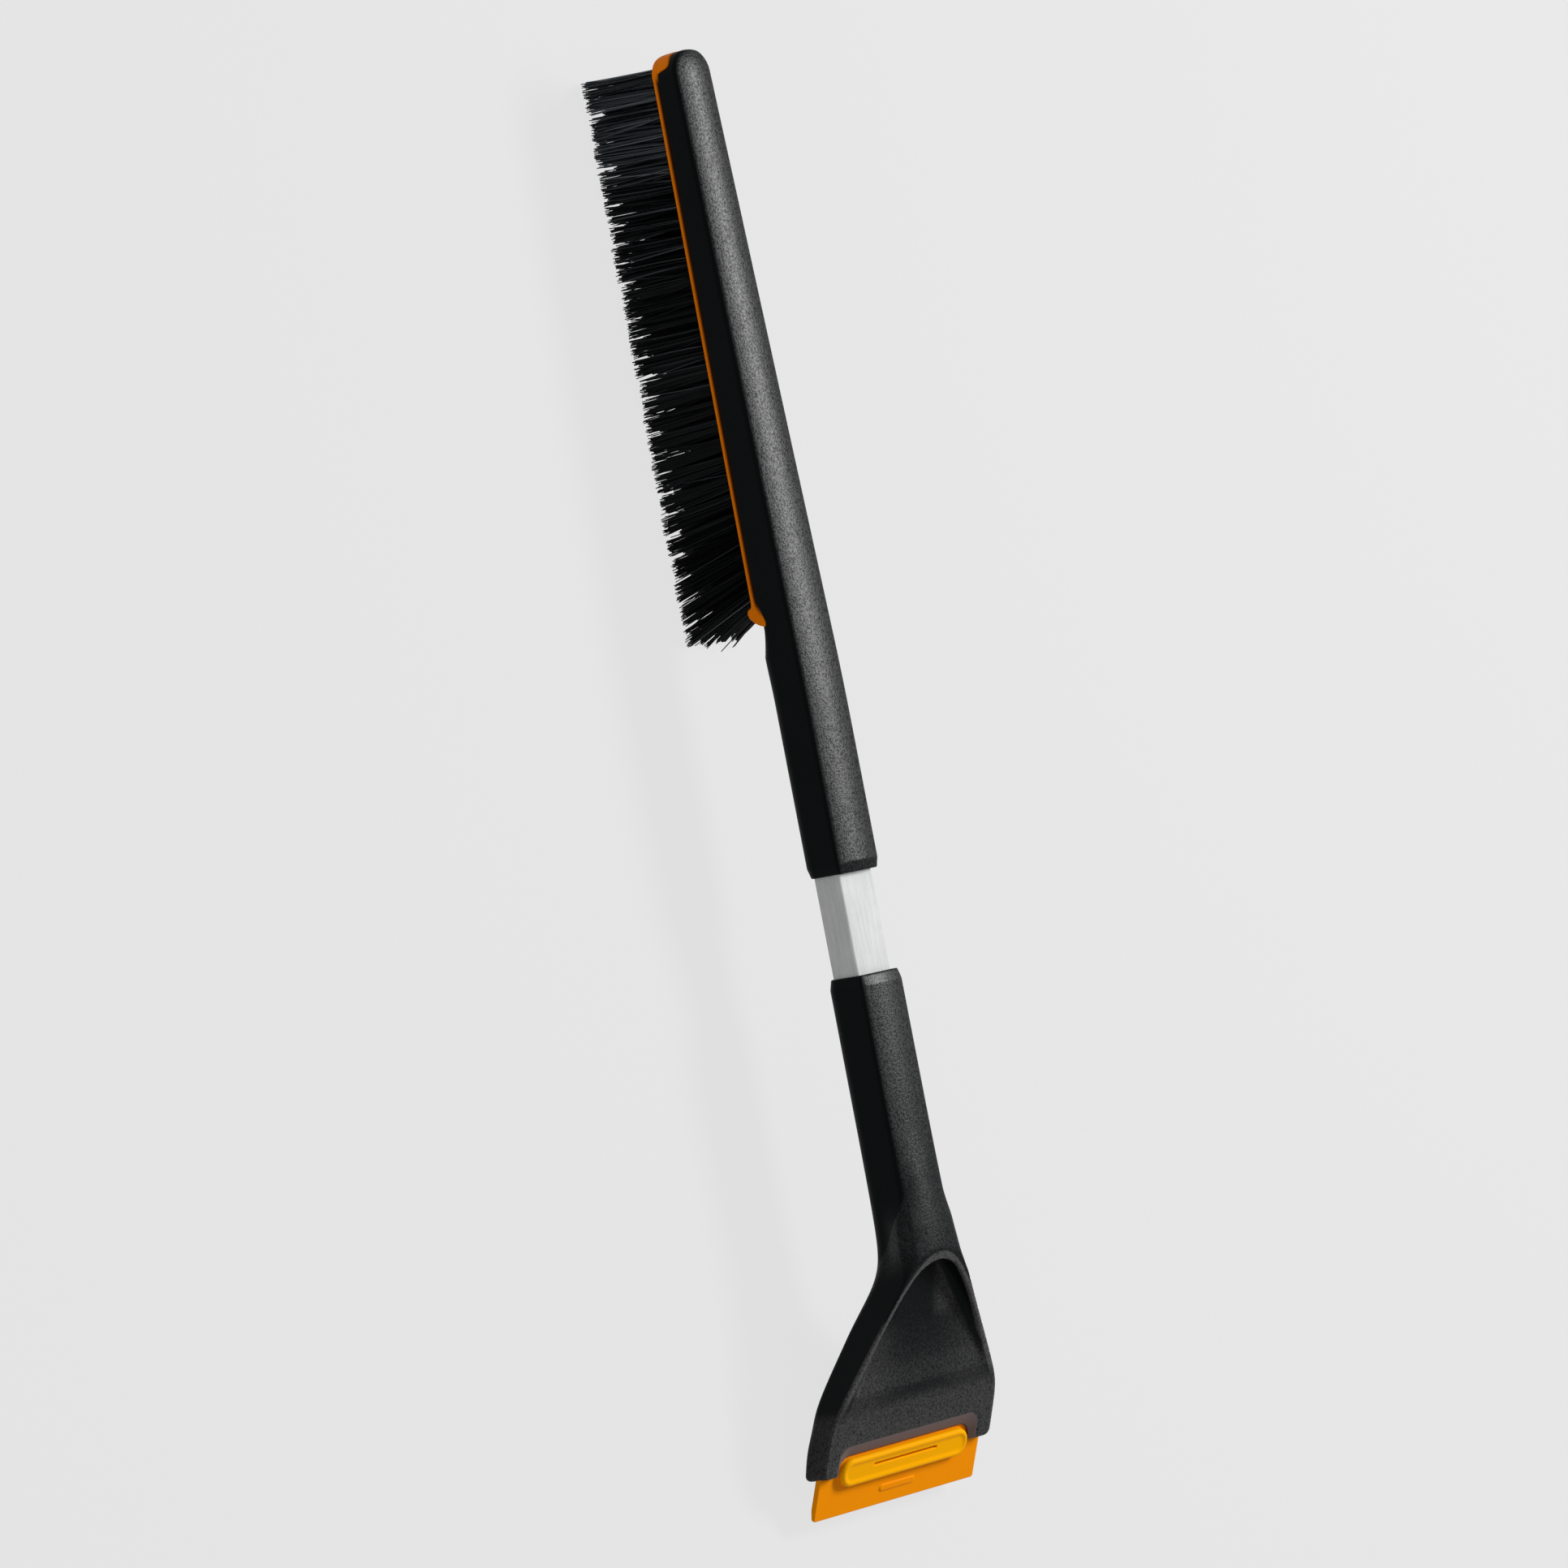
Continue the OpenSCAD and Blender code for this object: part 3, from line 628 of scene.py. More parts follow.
def orange_plastic(name, colour, roughness, painted_shading_colour):
    """Dyed plastic with a soft sheen and faint flow marks; where the mesh marks it, a second colour is mixed
    in: painted shade along the carrier's seam, painted light on the blade's raised catch.
    """
    material, graph = new_material(name)
    place = graph.place()
    cloud = graph.noise(place, scale=45.0, detail=3.0)
    fine = graph.noise(place, scale=1400.0)
    tone = graph.shades(cloud * 0.7 + fine * 0.3, colour, darkest=0.94, palest=1.05)
    graph.show(graph.principled(
        Base_Color=graph.tint(graph.noted("painted_shading"), tone, rgba(painted_shading_colour)),
        Roughness=roughness + (cloud - 0.5) * 0.12, Normal=graph.bump(fine, strength=0.12, distance=0.0003),
        Specular_IOR_Level=0.025))
    return material


def drawn_aluminium(settings):
    """Bare tube with fine drawing lines along it."""
    material, graph = new_material("drawn_aluminium")
    place = graph.place()
    along = graph.add("ShaderNodeMapping", {"Vector": place, "Scale": (0.06, 1, 1)})
    lines = graph.noise(along, scale=700.0, detail=3.0, roughness=0.7)
    dust = graph.noise(place, scale=520.0, roughness=0.6)
    cloud = graph.noise(place, scale=60.0)
    share = lines * 0.5 + dust * 0.3 + cloud * 0.2
    graph.show(graph.principled(
        Base_Color=graph.shades(share, settings.colour, darkest=0.62, palest=1.38), Metallic=1.0,
        Roughness=settings.roughness + (dust - 0.5) * 0.12,
        Normal=graph.bump(lines * 0.6 + dust * 0.4, strength=0.06, distance=0.0002)))
    return material


def plated_steel(settings):
    """Plating of the screws and tuft anchors, a little uneven."""
    material, graph = new_material("plated_steel")
    cloud = graph.noise(graph.place(), scale=900.0, detail=3.0)
    graph.show(graph.principled(
        Base_Color=graph.shades(cloud, settings.screw_colour, darkest=0.75, palest=1.2), Metallic=1.0,
        Roughness=0.3 + cloud * 0.2, Normal=graph.bump(cloud, strength=0.1, distance=0.0002)))
    return material


def bristle_fibre(settings):
    """Black nylon bristles, each with a tone of its own; only the palest tones show, and strands near the nose
    are paler as painted sheen.
    """
    material, graph = new_material("bristle_fibre")
    speck = graph.noise(graph.place(), scale=700.0)
    shade = (graph.noted("tone") ** 18 * 0.95 + speck * 0.02 + graph.noted("along") * 0.02).clamped()
    graph.show(graph.principled(
        Base_Color=graph.shades(shade, settings.colour, darkest=0.35, palest=72.0),
        Roughness=0.4 + speck * 0.16, Specular_IOR_Level=0.06))
    return material


# Brush body and carrier

def brush_half(d):
    return mix(NOSE_W, GRIP_W, np.clip(d / (CARRIER_LEN + RUNOUT_LEN), 0, 1)) / 2


def brush_top(d):
    return -BACK_DROP / BACK_LEN * (soft_ramp(BACK_LEN - d, BACK_SOFT) - BACK_SOFT ** 2 / BACK_LEN)


def brush_plan(d, y):
    """Distance outside the brush seen from above, with its round nose."""
    half = brush_half(d)
    u = math.sqrt(NOSE_BLUNT) * np.maximum(1 - d / NOSE_LEN, 0)
    v = np.abs(y) / half
    g = np.sqrt(u * u + v * v) + 1e-9
    slope = np.sqrt((u * math.sqrt(NOSE_BLUNT) / NOSE_LEN) ** 2 + (v / half) ** 2) / g
    return round_and((g - 1) / np.maximum(slope, 0.03), -d, r=2.0)


# The seam between body and carrier, in distance and height: over the nose block, down its S-shaped side,
# along the bar and up over the lip at its inner end
NOSE_SEAM = smooth_through([(-6, -15.5), (1.0, -15.5), (3.6, -14.9), (5.4, -14.5), (6.6, -14.9), (7.4, -16.2),
                            (7.8, -17.8), (8.3, -19.6), (9.0, CARRIER_TOP)])
LIP_SEAM = smooth_through([(236, CARRIER_TOP), (242, -20.8), (246.7, -19.3), (249.7, -18.1), (251.6, -17.8),
                           (252.8, -18.2)])
LIP_FACE = [(252.8, -18.4), (252.2, -21.0), (250.8, -23.8)]
LIP_SIDE = smooth_through(LIP_FACE + [(248.7, -26.4), (247.2, -27.4), (245.7, -27.6), (244.5, -27.1),
                                      (244.1, -26.2), (243.9, -25.4), (243.0, -24.8), (241, CARRIER_LOW)])
EAR_CORNER = [(EAR_R - EAR_R * math.sin(a), CARRIER_LOW + EAR_R - EAR_R * math.cos(a))
              for a in np.linspace(0, math.pi / 2, 13)]
CARRIER_OUTLINE = NOSE_SEAM + LIP_SEAM + LIP_SIDE + EAR_CORNER + [(-6, CARRIER_LOW + EAR_R)]
CARRIER_SPACE = NOSE_SEAM + LIP_SEAM + LIP_FACE + [(250.8, -90), (-6, -90)]


def tube_section(y, z):
    return rounded_rect(y, z - TUBE_MID, TUBE_W / 2, TUBE_H / 2, TUBE_R)


def screw_hole(d, at, y, z):
    return np.maximum(np.hypot(d - at, y) - SCREW_HOLE_R, z - SCREW_HOLE_TOP)


def bevelled(shell, inward):
    """A shell drawn in by the bevel round an open end; inward is the distance past the bevel's start."""
    return shell + BEVEL_IN * np.clip(inward / BEVEL_LEN, 0, 1)


def body_field(crown, edge_r):
    def field(x, y, z):
        d = -x
        half = brush_half(d)
        share = np.sqrt(1 - NOSE_BLUNT * np.clip(1 - d / NOSE_LEN, 0, 1) ** 2)
        run = np.clip((d - GRIP_FROM) / RUNOUT_LEN, 0, 1)
        top = brush_top(d) - BACK_LOWER + crown / 2 - crown * (y / half) ** 2 - NOSE_DIP * (1 - share)
        shell = round_and(brush_plan(d, y), z - top, edge_r)
        start = mix(CARRIER_TOP - BACK_SINK, CARRIER_TOP + SEAM_AT_LIP, rise(d, *LIP_SPAN))
        low = mix(start, -GRIP_H - SAG * rise(d, *SAG_SPAN), run ** RUNOUT_POWER)
        shell = round_and(shell, low - z, mix(BACK_UNDER_R, UNDER_R, run))
        shell = round_and(bevelled(shell, d - BODY_END + BEVEL_LEN), d - BODY_END, END_R)
        gap = mix(SEAM, SEAM_AT_LIP, rise(d, *SEAM_SPAN))
        shell = cut(shell, outline_distance(CARRIER_SPACE, d, z) - gap, FINE_R)
        shell = cut(shell, np.maximum(tube_section(y, z) - TUBE_FIT, TUBE_FROM - d), FINE_R)
        return cut(shell, screw_hole(d, BODY_LEN - SCREW_AT, y, z), FINE_R)
    return field


def carrier_field(edge_r):
    def field(x, y, z):
        d = -x
        plan = round_and(brush_plan(d, y) - BLOCK_PROUD * rise(d, *BLOCK_SPAN), BLOCK_FROM - d, r=0.6)
        return round_and(plan, outline_distance(CARRIER_OUTLINE, d, z), edge_r)
    return field


# Scraper handle and blade

def handle_half(s):
    flare = GRIP_W / 2 + FLARE_TAN * soft_ramp(s - FLARE_AT, FLARE_SOFT)
    return HEAD_W / 2 - soft_ramp(HEAD_W / 2 - flare, CORNER_SOFT)


def handle_wall(s, y):
    """Distance outside the handle seen from above."""
    spread = handle_half(s + 0.5) - handle_half(s - 0.5)
    return (np.abs(y) - handle_half(s)) / np.sqrt(1 + spread * spread)


def handle_under(s):
    return (-GRIP_H - UNDER_TAN * soft_ramp(s - UNDER_AT, UNDER_SOFT)
            + (UNDER_TAN - LEVEL_TAN) * soft_ramp(s - LEVEL_AT, UNDER_SOFT))


def along_head(d, z):
    """Distance from the scraping edge back into the head, and height above the blade's top face."""
    a, b = EDGE_AT - d, z + EDGE_DROP
    c, s = math.cos(HEAD_ANGLE), math.sin(HEAD_ANGLE)
    return a * c + b * s, b * c - a * s


def floor_height(s):
    return (ARCH_Z - (FRONT_H - TOP_H) / math.cos(HEAD_ANGLE)
            - (CREASE_AT - ARCH_AT) * math.tan(HEAD_ANGLE) - (s - CREASE_AT) * math.tan(FLOOR_ANGLE))


def handle_field(crown, edge_r, rim_r):
    def field(x, y, z):
        d = -x
        s = d - HANDLE_AT
        half = handle_half(s)
        wall = handle_wall(s, y)
        back, height = along_head(d, z)
        arch = ease((s - NECK_AT) / NECK_LEN)
        middle = mix(crown / 2 - GRIP_LOWER, NECK_MID, rise(s, *NECK_RISE))
        edge = mix(-crown / 2 - GRIP_LOWER, NECK_EDGE, arch)
        top = middle - (middle - edge) * (y / half) ** 2
        bulge = NECK_BULGE * rise(s, *BULGE_IN) * rise(s, *BULGE_OUT) * rise(z, *BULGE_Z)
        shell = round_and(wall - bulge, s - HANDLE_LEN, r=3.0)
        shell = round_and(shell, z - top, mix(edge_r, ARCH_R, arch))
        low_r = (mix(UNDER_R, HEAD_UNDER_R, ease((s - FLARE_AT) / HEAD_UNDER_RUN))
                 + CHEEK_R * np.exp(-((s - CHEEK_AT) / CHEEK_LEN) ** 2))
        tilt = handle_under(s + 0.5) - handle_under(s - 0.5)
        shell = round_and(shell, (handle_under(s) - z) / np.sqrt(1 + tilt * tilt), low_r)
        shell = round_and(bevelled(shell, HANDLE_START + BEVEL_LEN - s), HANDLE_START - s, END_R)
        shell = round_and(shell, height - TOP_H, rim_r)
        floor = (floor_height(s) - z) * math.cos(FLOOR_ANGLE)
        shell = cut(shell, round_and(scoop_outline(s, y, back), floor, SCOOP_R), rim_r)
        ribs = np.minimum(np.abs(y), np.abs(np.abs(y) - RIB_STEP)) - RIB_T / 2
        hollow = round_and(wall + HEAD_WALL, z - floor_height(s) + HEAD_WALL, r=4.0)
        hollow = round_and(hollow, np.maximum(HOLLOW_FROM - s, s - CREASE_AT), r=2.0)
        shell = cut(shell, cut(hollow, ribs, r=1.0), r=0.7)
        shell = cut(shell, np.maximum(catch_recess(back, y, height), -height), r=1.1)
        mouth = rounded_rect(y, height + BLADE_T / 2, BLADE_W / 2 + BLADE_FIT, BLADE_T / 2 + BLADE_FIT, r=0.4)
        shell = cut(shell, np.maximum(mouth, back - BLADE_LEN - BLADE_FIT), r=0.1)
        shell = cut(shell, np.maximum(tube_section(y, z) - TUBE_FIT, d - TUBE_TO - TUBE_FIT), FINE_R)
        return cut(shell, screw_hole(s, SCREW_AT, y, z), FINE_R)
    return field


def catch_recess(back, y, height):
    """Distance outside the recess of the blade's catch; its sides slope outward above a short step."""
    share = np.clip((height - RECESS_STEP) / (TOP_H - RECESS_STEP), 0, RECESS_OVER)
    deep, half = mix(*RECESS_LEN, share), mix(*RECESS_HALF, share)
    return rounded_rect(back - deep / 2, y, deep / 2, half, r=6.5) * RECESS_SLANT


def scoop_outline(s, y, back):
    """Distance outside the scoop seen square to the head."""
    wide = np.abs(y)
    q = 2 * (np.sqrt(ARCH_ROUND + wide) - math.sqrt(ARCH_ROUND))
    arched = (q * q - (ARCH_APEX - back)) / np.sqrt(1 + 4 * q * q / (ARCH_ROUND + wide))
    return round_and(handle_wall(s, y) + RIM_W, arched, SCOOP_R)


# By distance from the handle's open end: the height where the texture ends on the neck's side, as its edge
# leaves the top and sweeps down; the strength of the paler textured copy, partly moulded texture and partly
# painted sheen with low values as painted shade, on the top of grip and neck, and on the scoop's floor with the
# plane in front of it; and how strong the painted highlight on the scoop's rim is
NECK_LINE = ((87, 3), (98, -1), (104.5, -4.3), (110, -9), (116.6, -13.6), (121.8, -18.4), (125.6, -22.2),
             (140, -34))
TOP_TEXTURE_AND_SHEEN = ((0, 2.2), (4.5, 2.2), (5.5, 1.15), (20, 1.1), (65, 0.8), (85, 0.62), (98, 0.3), (115, 0.27))
FLOOR_TEXTURE_AND_SHEEN = ((126, 0.05), (134, 0.05), (148, 0.14), (166, 0.46), (174, 1.05), (178, 1.0), (180.5, 0.38),
                 (184, 0.38), (190, 1.0), (202, 1.1))
RIM_HIGHLIGHT_SHARE = ((124, 0.7), (132, 0.9), (140, 1.0), (180, 0.8))

# Strengths of the paler textured copy, partly texture and partly painted sheen, and of the painted light and
# paling on the head; the marks of the head begin at MARKS_AT
SIDE_TEXTURE_AND_SHEEN = 0.5
WALL_TEXTURE_AND_SHEEN = 0.4
RIM_HIGHLIGHT = 0.5
EDGE_HIGHLIGHT = 0.25
FAR_SIDE_PALING = 0.07
NEAR_SIDE_PALING = 0.12
APEX_FLOOR_LIGHT = 0.18
FRONT_WALL_LIGHT = 0.15
FRONT_TOP_LIGHT = 0.1
MARKS_AT = 118


def texture_of_handle(points, up, rim):
    """How much of the paler textured copy each point of the handle gets, partly the moulded texture and partly
    painted sheen, with low values as painted shade; places with much painted light get less.
    """
    s, y, z = -points[:, 0] - HANDLE_AT, points[:, 1], points[:, 2]
    back, _ = along_head(s + HANDLE_AT, z)
    inside = rise(scoop_outline(s, y, back), 0, -1.5) * rise(s, MARKS_AT, MARKS_AT + 6)
    swept = rise(z - along_table(s, NECK_LINE), -0.8, 0.8) * rise(s, 86, 92)
    swept *= mix(SIDE_TEXTURE_AND_SHEEN, 0, rise(s, MARKS_AT, MARKS_AT + 18))
    floor = along_table(s, FLOOR_TEXTURE_AND_SHEEN)
    front = rise(s, CREASE_AT - 4, CREASE_AT + 2) * (1 - inside)
    outer = mix(np.maximum(up * along_table(s, TOP_TEXTURE_AND_SHEEN), swept), up * floor, front)
    # Where much painted light is given, the plain copy is used, tinted by that painted light
    smooth = np.clip(2.9 * rim - 0.45, 0, 1)
    return mix(outer, np.maximum(up, WALL_TEXTURE_AND_SHEEN) * floor, inside) * (1 - smooth)


def rim_of_scoop(points):
    """How much painted light each point of the handle gets: most on the slope of the catch's recess, as painted
    bounce light from the orange catch, then as a painted highlight on the rim round the scoop, and least as
    painted highlights on the head's side edges, as painted light on the scoop's floor near the apex and on the
    plane in front of it, and as paling toward the floor's sides."""
    s, y, z = -points[:, 0] - HANDLE_AT, points[:, 1], points[:, 2]
    back, height = along_head(s + HANDLE_AT, z)
    off = scoop_outline(s, y, back)
    flat = rise(height, TOP_H - 1.7, TOP_H - 0.9) * rise(s, MARKS_AT, MARKS_AT + 4)
    width = mix(APEX_RIM_W, RIM_W, rise(s, *APEX_SPAN))
    near = rise(off, width + 0.8, width) * rise(off, -1.0, -0.2)
    # Painted highlight along the rim round the scoop
    rim = RIM_HIGHLIGHT * flat * near * along_table(s, RIM_HIGHLIGHT_SHARE) * rise(s, CREASE_AT + 8, CREASE_AT - 4)
    # Painted highlight along the head's side edges
    edge = EDGE_HIGHLIGHT * flat * rise(handle_wall(s, y), -2.2, -0.6) * rise(s, CREASE_AT - 8, CREASE_AT + 4)
    # Painted bounce light from the orange catch on the recess slope
    slope = rise(np.abs(catch_recess(back, y, height)), 0.8, 0.3)
    slope *= rise(height, 0.9, 1.4) * rise(height, TOP_H - 0.2, TOP_H - 0.6)
    # Paler toward the sides of the scoop's floor
    sides = mix(FAR_SIDE_PALING, NEAR_SIDE_PALING, rise(y, 0, 8)) * rise(np.abs(y), 8, 33) * rise(s, 148, 158)
    # Painted light over the far wall's shadow on the floor near the apex
    apex = APEX_FLOOR_LIGHT * rise(y, -6, -14) * rise(s, 158, 144)
    floor = np.maximum(sides, apex) * rise(off, -2, -4) * rise(s, 120, 124)
    # Painted light on the head's front part: its plane and the walls below it
    front = mix(FRONT_WALL_LIGHT, FRONT_TOP_LIGHT, flat) * rise(s, 182, 188)
    return np.maximum.reduce((rim, edge, slope, floor, front))


BLADE_SIDE = [(0, 0), (0, -EDGE_T), (EDGE_BEVEL, BLADE_LOW), (BLADE_LEN, BLADE_LOW), (BLADE_LEN, 0)]


def blade_field(back, y, height):
    """The blade in its own frame: distance back from its edge, across, and height above its top face."""
    plan = rounded_rect(back - BLADE_LEN, y, BLADE_LEN, BLADE_W / 2, r=1.3)
    plate = round_and(outline_distance(BLADE_SIDE, back, height), plan, FINE_R)
    long, wide = CATCH_LEN / 2, CATCH_W / 2
    catch = rounded_rect(back - CATCH_AT, y, long, wide, long)
    dish = rounded_rect(back - CATCH_AT, y, long - DISH_IN, wide - DISH_IN, long - DISH_IN)
    raised = round_and(round_and(catch, height - CATCH_H, r=1.7), -height - BLADE_T / 2, TINY_R)
    raised = cut(raised, round_and(dish, CATCH_H - DISH_DEEP - height, DISH_R), DISH_R)
    shape = join(plate, raised, r=0.7)
    pad = rounded_rect(back - PAD_AT, y, PAD_LEN / 2, PAD_W / 2, r=1.4)
    pad = round_and(round_and(pad, height - PAD_H, r=0.4), -height - PAD_DEPTH, TINY_R)
    shape = join(shape, pad, r=0.4)
    slit = rounded_rect(back - SLIT_AT, y, SLIT_W / 2, SLIT_LEN / 2, r=0.6)
    return cut(shape, round_and(slit, SLIT_FLOOR - height, TINY_R), TINY_R)


# Bristles

def bristle_tree(material):
    """One row of tufts, each a bundle of tapered strands that fans out toward its tips."""
    tree = bpy.data.node_groups.new("bristle_row", "GeometryNodeTree")
    face = tree.interface
    face.new_socket(name="Geometry", in_out="OUTPUT", socket_type="NodeSocketGeometry")
    inputs = {}
    counts = ("Tufts", "Strands", "Seed")
    sizes = ("Start", "Run", "Row", "Row at tips", "Level", "Length at nose", "Length at grip", "Root radius",
             "Tip radius", "Thickness", "Ragged")
    for name in counts + sizes:
        kind = "NodeSocketInt" if name in counts else "NodeSocketFloat"
        inputs[name] = face.new_socket(name=name, in_out="INPUT", socket_type=kind).identifier
    graph = Graph(tree)
    source = tree.nodes.new("NodeGroupInput")
    (tufts, strands, seed, start, run, row_at, row_at_tips, level, at_nose, at_grip, root_r, tip_r, thick,
     ragged) = (Wire(graph, source.outputs[name]) for name in inputs)
    index = graph.add("GeometryNodeInputIndex")
    draws = iter(range(SEEDS_A_ROW))

    def chance(low=0.0, high=1.0, of=index):
        return graph.add("FunctionNodeRandomValue", {
            2: low, 3: high, "ID": of, "Seed": seed + next(draws)}, out=1, data_type="FLOAT")

    def either_way(most, of=index):
        return chance(-most, most, of)

    def store(geometry, name, kind, value):
        return graph.add("GeometryNodeStoreNamedAttribute", {
            "Geometry": geometry, "Name": name, "Value": value}, data_type=kind, domain="POINT")

    tuft = (index / strands).floor()
    share = tuft / (tufts - 1)
    side_x, side_y = either_way(1), either_way(1)
    open_x = tip_r * chance(0.86, 1.08, tuft) - root_r
    stray = either_way(1) ** 15 * STRAND_STRAY
    lean = LEAN_AT_NOSE + LEAN_GAIN * share + LEAN_OF_LAST * share ** 5 + LEAN_OF_FIRST * (1 - share) ** 12
    length = ((at_nose + (at_grip - at_nose) * share) * (1 - ragged * chance() ** 4)
              * (1 - 0.03 * chance(0, 1, tuft) ** 3))
    root = graph.add("ShaderNodeCombineXYZ", {
        0: start - run * share + side_x * root_r, 1: row_at + side_y * TUFT_HALF, 2: level})
    sway = (lean * (math.pi / 180)).tangent() * length
    reach = graph.add("ShaderNodeCombineXYZ", {
        0: side_x * open_x - sway + stray + either_way(TUFT_SHIFT_X, tuft),
        1: row_at_tips - row_at + side_y * TUFT_OPENS + either_way(TUFT_SHIFT_Y, tuft),
        2: 0 - length})
    bend = graph.add("ShaderNodeCombineXYZ", {
        0: either_way(STRAND_BEND_X), 1: either_way(STRAND_BEND_Y), 2: 0.0})
    points = graph.add("GeometryNodePoints", {"Count": tufts * strands, "Position": root})
    # Painted sheen: strands in the first tufts by the nose get paler tones
    nose_sheen = (1.6 - 4 * share).clamped()
    tone = chance() ** (1 - 0.9 * nose_sheen) * (0.94 + 0.06 * nose_sheen)
    points = store(store(points, "tone", "FLOAT", tone), "bend", "FLOAT_VECTOR", bend)
    strand = graph.add("GeometryNodeMeshCone", {
        "Vertices": 3, "Side Segments": 4, "Radius Top": thick * 0.38,
        "Radius Bottom": thick * 0.5, "Depth": 1.0}, out="Mesh", fill_type="NGON")
    height = graph.add("ShaderNodeSeparateXYZ", {0: graph.add("GeometryNodeInputPosition")}, out=2)
    strand = store(strand, "along", "FLOAT", height)
    aimed = graph.add("FunctionNodeAlignRotationToVector", {"Vector": reach}, axis="Z")
    size = graph.add("ShaderNodeVectorMath", {0: reach}, out="Value", operation="LENGTH")
    scale = graph.add("ShaderNodeCombineXYZ", {0: 1.0, 1: 1.0, 2: size})
    row = graph.add("GeometryNodeInstanceOnPoints", {
        "Points": points, "Instance": strand, "Rotation": aimed, "Scale": scale})
    row = graph.add("GeometryNodeRealizeInstances", {"Geometry": row})
    along = graph.add("GeometryNodeInputNamedAttribute", {"Name": "along"}, data_type="FLOAT")
    pull = graph.add("GeometryNodeInputNamedAttribute", {"Name": "bend"}, data_type="FLOAT_VECTOR")
    bow = along * (1 - along) * 4
    shift = graph.add("ShaderNodeVectorMath", {0: pull, "Scale": bow}, operation="SCALE")
    row = graph.add("GeometryNodeSetPosition", {"Geometry": row, "Offset": shift})
    row = graph.add("GeometryNodeSetMaterial", {"Geometry": row, "Material": material})
    graph.add("NodeGroupOutput", {"Geometry": row})
    return tree, inputs


def grown_mesh(name, tree, values):
    """The plain mesh that a tree of nodes makes from the given inputs."""
    maker = bpy.data.objects.new(name, bpy.data.meshes.new(name))
    bpy.context.scene.collection.objects.link(maker)
    modifier = maker.modifiers.new(name, "NODES")
    modifier.node_group = tree
    for identifier, value in values.items():
        modifier[identifier] = value
    maker.update_tag()
    bpy.context.view_layer.update()
    depsgraph = bpy.context.evaluated_depsgraph_get()
    mesh = bpy.data.meshes.new_from_object(maker.evaluated_get(depsgraph))
    maker.modifiers.remove(modifier)
    maker.data = mesh
    mesh.name = name
    return maker


# Operators

# Stretches of (start, end, step) of the grids along the pieces, with fine steps where a form changes; the
# head's step is a setting
BODY_GRID = ((-1.5, 14, 0.4), (14, 24, 1.0), (24, 230, 4.0), (230, 240, 1.0), (240, 268, 0.45),
             (268, 326, 3.0), (326, 352, 0.9), (352, 365.6, 0.4))
CARRIER_GRID = ((-1.2, 14, 0.35), (14, 24, 1.0), (24, 228, 4.0), (228, 238, 1.0), (238, 254.2, 0.35))
GRIP_GRID = ((-1.5, 8, 0.45), (8, 16, 1.2), (16, 32, 0.9), (32, 92, 3.0), (92, 108, 1.2))
HEAD_SPAN = (108, 213.5)
BLADE_GRID = (-0.8, 38.8, 0.4)

# How strong the paler textured copy is on the upper grip and its bevel, beside 1 on the brush's back; partly
# texture, partly painted sheen
GRIP_TEXTURE_AND_SHEEN = 1.12
BEVEL_TEXTURE_AND_SHEEN = 0.6


def settings():
    return bpy.context.scene.snow_brush


class SNOWBRUSH_OT_body(Operator):
    """Moulds the brush body with its upper grip"""

    bl_idname = "snow_brush.body"
    bl_label = "Brush Body"

    def execute(self, context):
        body = settings().body
        field = body_field(body.crown * 1000, body.edge_radius * 1000)
        ys, zs = section(half=13.8, low=-27.2, high=2.6, step=0.46)
        points, faces = surface(field, -graded(*BODY_GRID)[::-1], ys, zs)
        material = textured_plastic("textured_black", body)
        piece = add_piece("brush_body_shell", to_frame(points), faces, material, "black_plastic", "tool",
                          "brush_body")
        d, bevel = -points[:, 0], BODY_END - BEVEL_LEN
        # Painted sheen: upward faces take the paler textured copy, stronger on the upper grip and weaker on its
        # bevel
        painted_shading = mix(1, GRIP_TEXTURE_AND_SHEEN, rise(d, 200, 320))
        painted_shading *= mix(1, BEVEL_TEXTURE_AND_SHEEN, rise(d, bevel - 0.25, bevel + 0.25))
        note(piece, "texture_and_sheen", facing_up(piece) * painted_shading)
        return {"FINISHED"}


class SNOWBRUSH_OT_carrier(Operator):
    """Moulds the orange bar that carries the bristles"""

    bl_idname = "snow_brush.carrier"
    bl_label = "Bristle Carrier"

    def execute(self, context):
        carrier = settings().carrier
        ys, zs = section(half=13.6, low=-28.6, high=-12.6, step=0.4)
        field = carrier_field(carrier.edge_radius * 1000)
        points, faces = surface(field, -graded(*CARRIER_GRID)[::-1], ys, zs)
        # Painted shade: the bar darkens toward its seam under the body
        material = orange_plastic("orange_carrier", carrier.colour, roughness=0.38,
                                  painted_shading_colour=(0.035, 0.008, 0.002))
        piece = add_piece("bristle_bar", to_frame(points), faces, material, "orange_plastic", "tool",
                          "bristle_carrier")
        d = -points[:, 0]
        # Painted shade along the seam, fading out toward the nose block and the lip
        seam = outline_distance(CARRIER_SPACE, d, points[:, 2])
        note(piece, "painted_shading", rise(seam, -2.2, -0.5) * rise(d, 9, 13) * rise(d, 250, 242))
        return {"FINISHED"}


